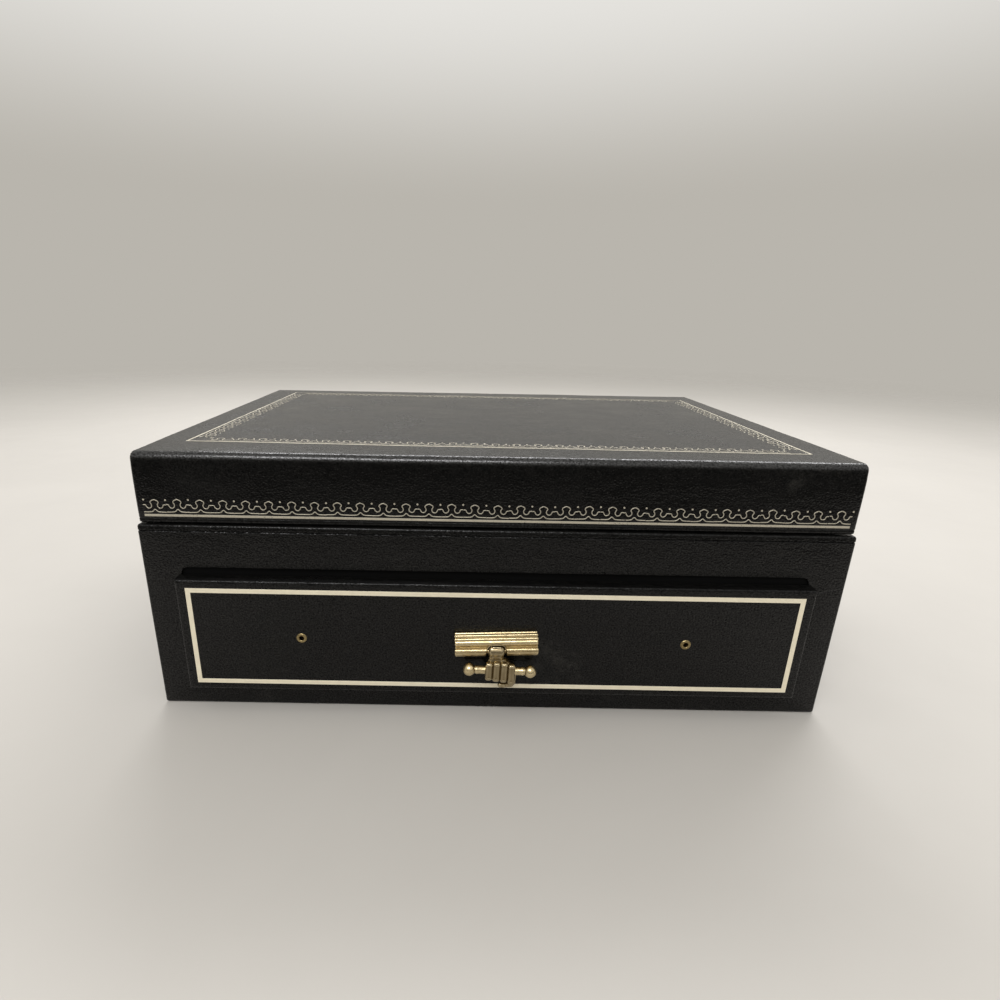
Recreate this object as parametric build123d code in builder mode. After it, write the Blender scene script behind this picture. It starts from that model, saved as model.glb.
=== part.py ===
from build123d import *
import math
import os

# A leather-covered dresser box in millimetres: a case with a lined well under a hinged lid,
# and a drawer with a cast brass hand for a pull.
# The front faces -Y, up is +Z, and the origin is the middle of the resting face.

# Overall sizes, over the leather
WIDTH = 290.0
DEPTH = 196.0
CASE_HEIGHT = 84.8
LID_HEIGHT = 29.3
LID_SETBACK = 1.2

# Boards, leather and linings
LEATHER = 0.9
CASE_WALL = 8.0
BOTTOM_BOARD = 6.0
SHELF_BOARD = 3.0
LID_TOP_BOARD = 6.0
LID_PADDING = 1.5
LINING = 1.2
LEATHER_TURN_UNDER = 12.0

# Rounding of the covered edges
CASE_CORNER_RADIUS = 1.0
CASE_RIM_RADIUS = 0.8
LID_FRONT_RADIUS = 6.0
LID_SIDE_RADIUS = 1.5
LID_LOWER_RADIUS = 0.7
SLAB_EDGE_RADIUS = 0.8

# Gaps between pieces
LID_GAP = 0.3
FACE_GAP = 0.3
SLIDE_GAP = 0.3
DRAWER_SIDE_GAP = 0.6
DRAWER_BACK_GAP = 3.0
SHELF_GAP = 1.0
SHEET_GAP = 0.1
SHAFT_FIT = 0.03
LINING_DROP = 1.0

# Drawer front slab, measured in from the case's own edges
SLAB_MARGIN_SIDE = 15.0
SLAB_MARGIN_BOTTOM = 12.0
SLAB_MARGIN_TOP = 21.4
SLAB_PROUD = 6.0
SLAB_LAP_SIDE = 4.0
SLAB_LAP_HEIGHT = 3.0

# Drawer tray and its runners
TRAY_WALL = 5.0
TRAY_BOTTOM = 3.0
TRAY_BOTTOM_RISE = 1.0
RUNNER_LEDGE = 7.0

# Dividers and ring rolls in the well
DIVIDER_THICKNESS = 3.0
DIVIDER_DROP = 4.0
DIVIDER_LONG_Y = 20.0
DIVIDER_CROSS_X = 45.0
ROLL_COUNT = 7
ROLL_BASE = 5.0
ROLL_GAP = 0.3

# Padded panel inside the lid
LID_PAD_THICKNESS = 5.0
LID_PAD_MARGIN = 5.0
LID_PAD_CROWN = 2.5

# Brass butt hinges at the back
HINGE_INSET = 60.0
HINGE_LENGTH = 28.0
HINGE_LEAF = 1.2
HINGE_BARREL_RADIUS = 2.2
HINGE_PIN_RADIUS = 0.8
HINGE_STANDOFF = 0.5
HINGE_LEAF_INSET = 7.4
HINGE_CUT_GAP = 0.3
KNUCKLE_GAP = 0.2
HINGE_SCREW_PITCH = 9.5
HINGE_SCREW_INSET = 5.0
HINGE_SCREW_LENGTH = 6.0
SCREW_SHANK_RADIUS = 0.8
SCREW_HEAD_RADIUS = 1.6
SCREW_SLOT = 0.4

# Tubular rivets in the slab
RIVET_INSET = 50.0
RIVET_FLANGE_RADIUS = 2.2
RIVET_FLANGE = 0.4
RIVET_TUBE_RADIUS = 1.5
RIVET_BORE_RADIUS = 1.0
RIVET_DEPTH = 4.0

# Reeded pull bar, screwed to the slab a little askew
PULL_X = 1.0
PULL_DROP = 0.3
PULL_TILT = 2.4
BAR_LENGTH = 34.4
BAR_RADIUS = 5.75
REED_COUNT = 6
REED_RADIUS = 1.22
REED_RISE = 1.0
NOTCH_RADIUS = 4.3
PIN_DROP = 2.0
PIN_PROUD = 3.4
PULL_PIN_RADIUS = 0.8
PULL_PIN_LENGTH = 15.0
PULL_SCREW_X = 11.5
PULL_SCREW_RADIUS = 1.25
PULL_SCREW_HEAD_RADIUS = 2.4
PULL_SCREW_BITE = 3.0

# Cast hand and the rod in its grip, measured from the middle of its pin
HAND_TILT = -1.4
KNUCKLE_RADIUS = 2.9
KNUCKLE_END_RADIUS = 2.2
WRIST_WIDTH = 6.4
WRIST_BACK = -1.4
WRIST_FRONT = 2.4
WRIST_LENGTH = 2.9
FIST_SHIFT = 1.7
FIST_WIDTH = 12.4
FIST_TOP = -5.2
FIST_BOTTOM = -12.6
FIST_BACK = -2.0
FIST_FRONT = 4.0
FIST_CORNER_RADIUS = 1.4
FINGER_RADIUS = 1.7
FINGER_PITCH = 3.1
FINGER_TOPS = (-3.0, -2.7, -2.8, -3.5)
FINGER_TIPS = (-11.4, -11.9, -12.2, -12.8)
THUMB_RADIUS = 1.4
THUMB_DROP = -14.4
THUMB_START = 0.6
THUMB_END = 5.0
THUMB_OUT = 1.6
ROD_RADIUS = 1.6
ROD_BALL_RADIUS = 2.7
ROD_LENGTH = 30.4
ROD_DROP = -8.0
ROD_OUT = 1.8

# Planes and faces worked out from the sizes above
FRONT_Y = -DEPTH / 2
BACK_Y = DEPTH / 2
INNER_X = WIDTH / 2 - LEATHER - CASE_WALL
INNER_Y = DEPTH / 2 - LEATHER - CASE_WALL
BOARD_X = WIDTH / 2 - LEATHER
BOARD_Y = DEPTH / 2 - LEATHER
FLOOR_TOP = LEATHER + BOTTOM_BOARD
BOARD_TOP = CASE_HEIGHT - LEATHER

SLAB_X = WIDTH / 2 - SLAB_MARGIN_SIDE
SLAB_BOTTOM = SLAB_MARGIN_BOTTOM
SLAB_TOP = CASE_HEIGHT - SLAB_MARGIN_TOP
SLAB_BACK_Y = FRONT_Y - FACE_GAP
SLAB_FRONT_Y = FRONT_Y - SLAB_PROUD
OPENING_X = SLAB_X - SLAB_LAP_SIDE
OPENING_BOTTOM = SLAB_BOTTOM + SLAB_LAP_HEIGHT
OPENING_TOP = SLAB_TOP - SLAB_LAP_HEIGHT

TRAY_X = OPENING_X - DRAWER_SIDE_GAP
TRAY_BASE = OPENING_BOTTOM + SLIDE_GAP
TRAY_TOP = OPENING_TOP - DRAWER_SIDE_GAP
TRAY_BACK_Y = INNER_Y - DRAWER_BACK_GAP
TRAY_INNER_X = TRAY_X - TRAY_WALL
TRAY_INNER_FRONT_Y = SLAB_BACK_Y + TRAY_WALL
TRAY_INNER_BACK_Y = TRAY_BACK_Y - TRAY_WALL
TRAY_FLOOR = TRAY_BASE + TRAY_BOTTOM_RISE + TRAY_BOTTOM

SHELF_BASE = OPENING_TOP + SHELF_GAP
SHELF_TOP = SHELF_BASE + SHELF_BOARD
WELL_X = INNER_X - LINING
WELL_Y = INNER_Y - LINING
WELL_FLOOR = SHELF_TOP + LINING
LINING_TOP = CASE_HEIGHT - LINING_DROP
DIVIDER_TOP = CASE_HEIGHT - DIVIDER_DROP

LID_BOTTOM = CASE_HEIGHT + LID_GAP
LID_TOP = LID_BOTTOM + LID_HEIGHT
LID_X = WIDTH / 2 - LID_SETBACK
LID_Y = DEPTH / 2 - LID_SETBACK
LID_BOARD_X = LID_X - LEATHER
LID_BOARD_Y = LID_Y - LEATHER
LID_PADDING_BASE = LID_TOP - LEATHER - LID_PADDING
LID_CEILING = LID_PADDING_BASE - LID_TOP_BOARD
LID_PAD_TOP = LID_CEILING - LINING

HINGE_X = WIDTH / 2 - HINGE_INSET
HINGE_Y = BACK_Y + HINGE_STANDOFF + HINGE_BARREL_RADIUS
HINGE_Z = CASE_HEIGHT + LID_GAP / 2
LEAF_INNER_Y = BACK_Y - HINGE_LEAF_INSET
LEAF_OUTER_Y = HINGE_Y - HINGE_BARREL_RADIUS - HINGE_CUT_GAP
HINGE_SCREW_Y = BACK_Y - HINGE_SCREW_INSET
SCREW_HEAD_HEIGHT = SCREW_HEAD_RADIUS - SCREW_SHANK_RADIUS
SIDES = (("left", -1), ("right", 1))

SLAB_MIDDLE_Z = (SLAB_BOTTOM + SLAB_TOP) / 2
RIVET_X = SLAB_X - RIVET_INSET
PULL_Z = SLAB_MIDDLE_Z - PULL_DROP
OUTWARD = (0, -1, 0)
RIGHT_ANGLE = 90
HALF_TURN = 180
REED_STEP = HALF_TURN / REED_COUNT

os.makedirs("parts", exist_ok=True)


def tilted(origin, degrees):
    """Give a plane that faces outward, its X axis turned up from +X by some degrees."""
    turn = math.radians(degrees)
    return Plane(origin=origin, x_dir=(math.cos(turn), 0, math.sin(turn)), z_dir=OUTWARD)


def across(plane, distance):
    """Give the plane square to another plane's X axis, at a distance along that axis."""
    origin = plane.from_local_coords(Vector(distance, 0, 0))
    return Plane(origin=origin, x_dir=plane.z_dir, z_dir=plane.x_dir)


def block(x_range, y_range, z_range, mode=Mode.ADD):
    """Add or cut, in the part being built, the box that spans three ranges."""
    ranges = (x_range, y_range, z_range)
    with Locations(tuple(sum(span) / 2 for span in ranges)):
        Box(*(span[1] - span[0] for span in ranges), mode=mode)


def lid_form(inset):
    """Add the lid's outer form, drawn in by an inset all round, with its rounded top."""
    block(
        (-LID_X + inset, LID_X - inset),
        (-LID_Y + inset, LID_Y - inset),
        (LID_BOTTOM + inset, LID_TOP - inset),
    )
    fillet(edges().filter_by(Axis.X).group_by(Axis.Z)[-1], radius=LID_FRONT_RADIUS - inset)
    end_edges = ShapeList()
    for end in (0, -1):
        groups = faces().sort_by(Axis.X)[end].edges().group_by(Axis.Z)
        for group in groups[1:]:
            end_edges += group
    fillet(end_edges, radius=LID_SIDE_RADIUS - inset)


def screw_places(face_z, flip):
    """List the hinge screws' places on a face, with the flipped ones pointing up."""
    turn = (HALF_TURN, 0, 0) if flip else (0, 0, 0)
    return [
        Location((side * HINGE_X + step * HINGE_SCREW_PITCH, HINGE_SCREW_Y, face_z), turn)
        for _, side in SIDES
        for step in (-1, 0, 1)
    ]


def leaf_pockets(z_range):
    """Cut the two hinge leaves' pockets out of the rim being built."""
    for _, side in SIDES:
        block(
            (side * HINGE_X - HINGE_LENGTH / 2, side * HINGE_X + HINGE_LENGTH / 2),
            (LEAF_INNER_Y, BACK_Y + HINGE_STANDOFF),
            z_range,
            mode=Mode.SUBTRACT,
        )


def save(piece, name):
    """Label a finished piece and write it to its own file."""
    piece.part.label = name
    export_step(piece.part, f"parts/{name}.step")


CASE_LEAF_Z = (CASE_HEIGHT - HINGE_LEAF, CASE_HEIGHT)
LID_LEAF_Z = (LID_BOTTOM, LID_BOTTOM + HINGE_LEAF)
CASE_SCREWS = screw_places(CASE_HEIGHT, flip=False)
LID_SCREWS = screw_places(LID_BOTTOM, flip=True)

pull_plane = tilted((PULL_X, SLAB_FRONT_Y, PULL_Z), PULL_TILT)
pin_middle = pull_plane.from_local_coords(Vector(0, -PIN_DROP, PIN_PROUD))
pin_plane = tilted(pin_middle, PULL_TILT)
hand_plane = tilted(pin_middle, HAND_TILT)
rod_middle = hand_plane.from_local_coords(Vector(FIST_SHIFT, ROD_DROP, ROD_OUT))
rod_plane = tilted(rod_middle, HAND_TILT)
PULL_SCREW_START_Y = TRAY_INNER_FRONT_Y
PULL_SCREW_END_Y = SLAB_FRONT_Y - PULL_SCREW_BITE
pull_screw_points = [pull_plane.from_local_coords(Vector(s * PULL_SCREW_X, 0, 0)) for _, s in SIDES]
pull_screw_plane = Plane(origin=(0, PULL_SCREW_START_Y, 0), x_dir=(1, 0, 0), z_dir=OUTWARD)
pull_screw_spots = [(point.X, point.Z) for point in pull_screw_points]
PULL_SCREW_LENGTH = PULL_SCREW_START_Y - PULL_SCREW_END_Y
PULL_SCREW_HEAD = PULL_SCREW_HEAD_RADIUS - PULL_SCREW_RADIUS
slab_face = Plane(origin=(0, SLAB_FRONT_Y, 0), x_dir=(1, 0, 0), z_dir=OUTWARD)
rivet_spots = [(side * RIVET_X, SLAB_MIDDLE_Z) for _, side in SIDES]


# Case boards
for side_name, side in SIDES:
    with BuildPart() as case_side:
        block(
            sorted((side * INNER_X, side * BOARD_X)),
            (-INNER_Y, INNER_Y),
            (LEATHER, BOARD_TOP),
        )
    save(case_side, f"case_{side_name}_board")

with BuildPart() as case_front:
    block((-BOARD_X, BOARD_X), (-BOARD_Y, -INNER_Y), (LEATHER, BOARD_TOP))
    block(
        (-OPENING_X, OPENING_X),
        (-BOARD_Y, -INNER_Y),
        (OPENING_BOTTOM, OPENING_TOP),
        mode=Mode.SUBTRACT,
    )
save(case_front, "case_front_board")

with BuildPart() as case_back:
    block((-BOARD_X, BOARD_X), (INNER_Y, BOARD_Y), (LEATHER, BOARD_TOP))
    leaf_pockets(CASE_LEAF_Z)
    with Locations(*CASE_SCREWS):
        Hole(radius=SCREW_SHANK_RADIUS + SHAFT_FIT, depth=HINGE_SCREW_LENGTH + SHAFT_FIT)
save(case_back, "case_back_board")

with BuildPart() as case_bottom:
    block((-INNER_X, INNER_X), (-INNER_Y, INNER_Y), (LEATHER, FLOOR_TOP))
save(case_bottom, "case_bottom_board")

# Leather wrapped round the case, over its rim and turned under its base
with BuildPart() as case_leather:
    block((-WIDTH / 2, WIDTH / 2), (FRONT_Y, BACK_Y), (0, CASE_HEIGHT))
    fillet(case_leather.edges().filter_by(Axis.Z), radius=CASE_CORNER_RADIUS)
    fillet(case_leather.faces().sort_by(Axis.Z)[-1].edges(), radius=CASE_RIM_RADIUS)
    fillet(case_leather.faces().sort_by(Axis.Z)[0].edges(), radius=CASE_RIM_RADIUS)
    block((-BOARD_X, BOARD_X), (-BOARD_Y, BOARD_Y), (LEATHER, BOARD_TOP), mode=Mode.SUBTRACT)
    block((-INNER_X, INNER_X), (-INNER_Y, INNER_Y), (BOARD_TOP, CASE_HEIGHT), mode=Mode.SUBTRACT)
    block(
        (-BOARD_X + LEATHER_TURN_UNDER, BOARD_X - LEATHER_TURN_UNDER),
        (-BOARD_Y + LEATHER_TURN_UNDER, BOARD_Y - LEATHER_TURN_UNDER),
        (0, LEATHER),
        mode=Mode.SUBTRACT,
    )
    block(
        (-OPENING_X, OPENING_X),
        (FRONT_Y, -BOARD_Y),
        (OPENING_BOTTOM, OPENING_TOP),
        mode=Mode.SUBTRACT,
    )
    leaf_pockets(CASE_LEAF_Z)
save(case_leather, "case_leather")

with BuildPart() as base_cover:
    block(
        (-BOARD_X + LEATHER_TURN_UNDER + SHEET_GAP, BOARD_X - LEATHER_TURN_UNDER - SHEET_GAP),
        (-BOARD_Y + LEATHER_TURN_UNDER + SHEET_GAP, BOARD_Y - LEATHER_TURN_UNDER - SHEET_GAP),
        (0, LEATHER),
    )
save(base_cover, "base_cover")

# Shelf between the drawer and the well, on bearers, and the runners under the drawer
with BuildPart() as compartment_shelf:
    block((-INNER_X, INNER_X), (-INNER_Y, INNER_Y), (SHELF_BASE, SHELF_TOP))
save(compartment_shelf, "compartment_shelf")

for side_name, side in SIDES:
    with BuildPart() as drawer_runner:
        block(
            sorted((side * (OPENING_X - RUNNER_LEDGE), side * INNER_X)),
            (-INNER_Y, INNER_Y),
            (FLOOR_TOP, OPENING_BOTTOM),
        )
    save(drawer_runner, f"drawer_runner_{side_name}")

    with BuildPart() as shelf_bearer:
        block(
            sorted((side * OPENING_X, side * INNER_X)),
            (-INNER_Y, INNER_Y),
            (OPENING_BOTTOM, SHELF_BASE),
        )
    save(shelf_bearer, f"shelf_bearer_{side_name}")

# Lining, dividers and ring rolls of the well
with BuildPart() as well_lining:
    block((-INNER_X, INNER_X), (-INNER_Y, INNER_Y), (SHELF_TOP, LINING_TOP))
    block((-WELL_X, WELL_X), (-WELL_Y, WELL_Y), (WELL_FLOOR, LINING_TOP), mode=Mode.SUBTRACT)
save(well_lining, "well_lining")

DIVIDER_FRONT_Y = DIVIDER_LONG_Y - DIVIDER_THICKNESS / 2
with BuildPart() as divider_long:
    block(
        (-WELL_X, WELL_X),
        (DIVIDER_FRONT_Y, DIVIDER_FRONT_Y + DIVIDER_THICKNESS),
        (WELL_FLOOR, DIVIDER_TOP),
    )
save(divider_long, "divider_long")

for side_name, side in SIDES:
    with BuildPart() as divider_cross:
        block(
            sorted((side * DIVIDER_CROSS_X, side * (DIVIDER_CROSS_X + DIVIDER_THICKNESS))),
            (-WELL_Y, DIVIDER_FRONT_Y),
            (WELL_FLOOR, DIVIDER_TOP),
        )
    save(divider_cross, f"divider_cross_{side_name}")

ROLL_START_Y = -WELL_Y + ROLL_GAP
ROLL_PITCH = (DIVIDER_FRONT_Y - ROLL_GAP - ROLL_START_Y) / ROLL_COUNT
ROLL_START_X = -WELL_X + ROLL_GAP
ROLL_LENGTH = WELL_X - DIVIDER_CROSS_X - DIVIDER_THICKNESS - 2 * ROLL_GAP
with BuildPart() as ring_roll_cushion:
    with BuildSketch(Plane.YZ.offset(ROLL_START_X)):
        with Locations((ROLL_START_Y, WELL_FLOOR)):
            Rectangle(ROLL_COUNT * ROLL_PITCH, ROLL_BASE, align=(Align.MIN, Align.MIN))
        for roll in range(ROLL_COUNT):
            with Locations((ROLL_START_Y + (roll + 0.5) * ROLL_PITCH, WELL_FLOOR + ROLL_BASE)):
                Circle(ROLL_PITCH / 2)
                Rectangle(ROLL_PITCH, ROLL_BASE, align=(Align.CENTER, Align.MAX))
        with Locations((ROLL_START_Y, WELL_FLOOR)):
            Rectangle(
                ROLL_COUNT * ROLL_PITCH,
                ROLL_PITCH,
                align=(Align.MIN, Align.MAX),
                mode=Mode.SUBTRACT,
            )
    extrude(amount=ROLL_LENGTH)
save(ring_roll_cushion, "ring_roll_cushion")

# Lid boards
with BuildPart() as lid_cavity:
    lid_form(LEATHER)

for side_name, side in SIDES:
    with BuildPart() as lid_side:
        block(
            sorted((side * INNER_X, side * LID_BOARD_X)),
            (-INNER_Y, INNER_Y),
            (LID_BOTTOM + LEATHER, LID_CEILING),
        )
    save(lid_side, f"lid_{side_name}_board")

with BuildPart() as lid_front:
    block((-LID_BOARD_X, LID_BOARD_X), (-LID_BOARD_Y, -INNER_Y), (LID_BOTTOM + LEATHER, LID_CEILING))
    add(lid_cavity.part, mode=Mode.INTERSECT)
save(lid_front, "lid_front_board")

with BuildPart() as lid_back:
    block((-LID_BOARD_X, LID_BOARD_X), (INNER_Y, LID_BOARD_Y), (LID_BOTTOM + LEATHER, LID_CEILING))
    add(lid_cavity.part, mode=Mode.INTERSECT)
    leaf_pockets(LID_LEAF_Z)
    with Locations(*LID_SCREWS):
        Hole(radius=SCREW_SHANK_RADIUS + SHAFT_FIT, depth=HINGE_SCREW_LENGTH + SHAFT_FIT)
save(lid_back, "lid_back_board")

with BuildPart() as lid_top:
    block(
        (-LID_BOARD_X, LID_BOARD_X),
        (-LID_BOARD_Y, LID_BOARD_Y),
        (LID_CEILING, LID_PADDING_BASE),
    )
    add(lid_cavity.part, mode=Mode.INTERSECT)
save(lid_top, "lid_top_board")

with BuildPart() as lid_padding:
    block(
        (-LID_BOARD_X, LID_BOARD_X),
        (-LID_BOARD_Y, LID_BOARD_Y),
        (LID_PADDING_BASE, LID_TOP - LEATHER),
    )
    add(lid_cavity.part, mode=Mode.INTERSECT)
save(lid_padding, "lid_padding")

# Leather drawn over the lid and turned in under its rim
with BuildPart() as lid_leather:
    lid_form(0)
    fillet(lid_leather.faces().sort_by(Axis.Z)[0].edges(), radius=LID_LOWER_RADIUS)
    add(lid_cavity.part, mode=Mode.SUBTRACT)
    block(
        (-INNER_X, INNER_X),
        (-INNER_Y, INNER_Y),
        (LID_BOTTOM, LID_BOTTOM + LEATHER),
        mode=Mode.SUBTRACT,
    )
    leaf_pockets(LID_LEAF_Z)
save(lid_leather, "lid_leather")

# Lining and padded panel inside the lid
LID_LINING_BOTTOM = LID_BOTTOM + LINING_DROP
with BuildPart() as lid_lining:
    block((-INNER_X, INNER_X), (-INNER_Y, INNER_Y), (LID_LINING_BOTTOM, LID_CEILING))
    block((-WELL_X, WELL_X), (-WELL_Y, WELL_Y), (LID_LINING_BOTTOM, LID_PAD_TOP), mode=Mode.SUBTRACT)
save(lid_lining, "lid_lining")

with BuildPart() as lid_inner_pad:
    block(
        (-WELL_X + LID_PAD_MARGIN, WELL_X - LID_PAD_MARGIN),
        (-WELL_Y + LID_PAD_MARGIN, WELL_Y - LID_PAD_MARGIN),
        (LID_PAD_TOP - LID_PAD_THICKNESS, LID_PAD_TOP),
    )
    fillet(lid_inner_pad.edges().filter_by(Axis.Z), radius=LID_PAD_CROWN)
    fillet(lid_inner_pad.faces().sort_by(Axis.Z)[0].edges(), radius=LID_PAD_CROWN)
save(lid_inner_pad, "lid_inner_pad")

# Hinges: two knuckles on each case leaf, one on each lid leaf, and a pin through the three
knuckle_length = (HINGE_LENGTH - 2 * KNUCKLE_GAP) / 3
knuckle_starts = [index * (knuckle_length + KNUCKLE_GAP) - HINGE_LENGTH / 2 for index in range(3)]
HINGE_LEAVES = (
    ("case", CASE_LEAF_Z, (knuckle_starts[0], knuckle_starts[2]), CASE_SCREWS),
    ("lid", LID_LEAF_Z, (knuckle_starts[1],), LID_SCREWS),
)
for side_name, side in SIDES:
    hinge_middle = side * HINGE_X
    hinge_span = (hinge_middle - HINGE_LENGTH / 2, hinge_middle + HINGE_LENGTH / 2)
    for leaf_name, leaf_z, starts, screws in HINGE_LEAVES:
        with BuildPart() as hinge_leaf:
            block(hinge_span, (LEAF_INNER_Y, LEAF_OUTER_Y), leaf_z)
            for start in starts:
                knuckle = (hinge_middle + start, hinge_middle + start + knuckle_length)
                block(knuckle, (LEAF_OUTER_Y, HINGE_Y), leaf_z)
                with BuildSketch(Plane.YZ.offset(knuckle[0])):
                    with Locations((HINGE_Y, HINGE_Z)):
                        Circle(HINGE_BARREL_RADIUS)
                extrude(amount=knuckle_length)
            with BuildSketch(Plane.YZ.offset(hinge_span[0])):
                with Locations((HINGE_Y, HINGE_Z)):
                    Circle(HINGE_PIN_RADIUS + SHAFT_FIT)
            extrude(amount=HINGE_LENGTH, mode=Mode.SUBTRACT)
            with Locations(*screws):
                CounterSinkHole(
                    radius=SCREW_SHANK_RADIUS + SHAFT_FIT,
                    counter_sink_radius=SCREW_HEAD_RADIUS + SHAFT_FIT,
                    depth=2 * HINGE_LEAF,
                    counter_sink_angle=RIGHT_ANGLE,
                )
        save(hinge_leaf, f"hinge_{side_name}_{leaf_name}_leaf")

    with BuildPart() as hinge_pin:
        with BuildSketch(Plane.YZ.offset(hinge_span[0])):
            with Locations((HINGE_Y, HINGE_Z)):
                Circle(HINGE_PIN_RADIUS)
        extrude(amount=HINGE_LENGTH)
    save(hinge_pin, f"hinge_{side_name}_pin")

for screw_name, screws in (("case", CASE_SCREWS), ("lid", LID_SCREWS)):
    with BuildPart() as hinge_screws:
        with Locations(*screws):
            Cylinder(
                SCREW_SHANK_RADIUS,
                HINGE_SCREW_LENGTH,
                align=(Align.CENTER, Align.CENTER, Align.MAX),
            )
            Cone(
                bottom_radius=SCREW_SHANK_RADIUS,
                top_radius=SCREW_HEAD_RADIUS,
                height=SCREW_HEAD_HEIGHT,
                align=(Align.CENTER, Align.CENTER, Align.MAX),
            )
            Box(
                2 * SCREW_HEAD_RADIUS,
                SCREW_SLOT,
                2 * SCREW_SLOT,
                mode=Mode.SUBTRACT,
            )
    save(hinge_screws, f"hinge_{screw_name}_screws")

# Drawer front slab: a board under leather, held to the tray by the pull's screws
with BuildPart() as slab_board:
    block(
        (-SLAB_X + LEATHER, SLAB_X - LEATHER),
        (SLAB_FRONT_Y + LEATHER, SLAB_BACK_Y),
        (SLAB_BOTTOM + LEATHER, SLAB_TOP - LEATHER),
    )
    with BuildSketch(slab_face):
        with Locations(*rivet_spots):
            Circle(RIVET_TUBE_RADIUS + SHAFT_FIT)
    extrude(amount=-RIVET_DEPTH - SHAFT_FIT, mode=Mode.SUBTRACT)
    with BuildSketch(pull_screw_plane):
        with Locations(*pull_screw_spots):
            Circle(PULL_SCREW_RADIUS + SHAFT_FIT)
    extrude(amount=PULL_SCREW_LENGTH, mode=Mode.SUBTRACT)
save(slab_board, "drawer_front_board")

with BuildPart() as slab_leather:
    block((-SLAB_X, SLAB_X), (SLAB_FRONT_Y, SLAB_BACK_Y), (SLAB_BOTTOM, SLAB_TOP))
    fillet(slab_leather.faces().sort_by(Axis.Y)[0].edges(), radius=SLAB_EDGE_RADIUS)
    block(
        (-SLAB_X + LEATHER, SLAB_X - LEATHER),
        (SLAB_FRONT_Y + LEATHER, SLAB_BACK_Y),
        (SLAB_BOTTOM + LEATHER, SLAB_TOP - LEATHER),
        mode=Mode.SUBTRACT,
    )
    with BuildSketch(slab_face):
        with Locations(*rivet_spots):
            Circle(RIVET_TUBE_RADIUS + SHAFT_FIT)
        with Locations(*pull_screw_spots):
            Circle(PULL_SCREW_RADIUS + SHAFT_FIT)
    extrude(amount=-LEATHER, mode=Mode.SUBTRACT)
save(slab_leather, "drawer_front_leather")

# Drawer tray
with BuildPart() as tray_front:
    block((-TRAY_INNER_X, TRAY_INNER_X), (SLAB_BACK_Y, TRAY_INNER_FRONT_Y), (TRAY_BASE, TRAY_TOP))
    with BuildSketch(pull_screw_plane):
        with Locations(*pull_screw_spots):
            Circle(PULL_SCREW_RADIUS + SHAFT_FIT)
    extrude(amount=PULL_SCREW_LENGTH, mode=Mode.SUBTRACT)
    with BuildSketch(pull_screw_plane):
        with Locations(*pull_screw_spots):
            Circle(PULL_SCREW_HEAD_RADIUS + SHAFT_FIT)
    extrude(amount=PULL_SCREW_HEAD, mode=Mode.SUBTRACT)
save(tray_front, "drawer_inner_front")

for side_name, side in SIDES:
    with BuildPart() as tray_side:
        block(
            sorted((side * TRAY_INNER_X, side * TRAY_X)),
            (SLAB_BACK_Y, TRAY_BACK_Y),
            (TRAY_BASE, TRAY_TOP),
        )
    save(tray_side, f"drawer_{side_name}_side")

with BuildPart() as tray_back:
    block((-TRAY_INNER_X, TRAY_INNER_X), (TRAY_INNER_BACK_Y, TRAY_BACK_Y), (TRAY_BASE, TRAY_TOP))
save(tray_back, "drawer_back")

with BuildPart() as tray_bottom:
    block(
        (-TRAY_INNER_X, TRAY_INNER_X),
        (TRAY_INNER_FRONT_Y, TRAY_INNER_BACK_Y),
        (TRAY_BASE + TRAY_BOTTOM_RISE, TRAY_FLOOR),
    )
save(tray_bottom, "drawer_bottom")

TRAY_LINING_TOP = TRAY_TOP - LINING_DROP
with BuildPart() as tray_lining:
    block(
        (-TRAY_INNER_X, TRAY_INNER_X),
        (TRAY_INNER_FRONT_Y, TRAY_INNER_BACK_Y),
        (TRAY_FLOOR, TRAY_LINING_TOP),
    )
    block(
        (-TRAY_INNER_X + LINING, TRAY_INNER_X - LINING),
        (TRAY_INNER_FRONT_Y + LINING, TRAY_INNER_BACK_Y - LINING),
        (TRAY_FLOOR + LINING, TRAY_LINING_TOP),
        mode=Mode.SUBTRACT,
    )
save(tray_lining, "drawer_lining")

# Tubular rivets with a flange on the leather
with BuildPart() as drawer_rivets:
    with BuildSketch(slab_face):
        with Locations(*rivet_spots):
            Circle(RIVET_FLANGE_RADIUS)
            Circle(RIVET_BORE_RADIUS, mode=Mode.SUBTRACT)
    extrude(amount=RIVET_FLANGE)
    with BuildSketch(slab_face):
        with Locations(*rivet_spots):
            Circle(RIVET_TUBE_RADIUS)
            Circle(RIVET_BORE_RADIUS, mode=Mode.SUBTRACT)
    extrude(amount=-RIVET_DEPTH)
save(drawer_rivets, "drawer_rivets")

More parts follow.
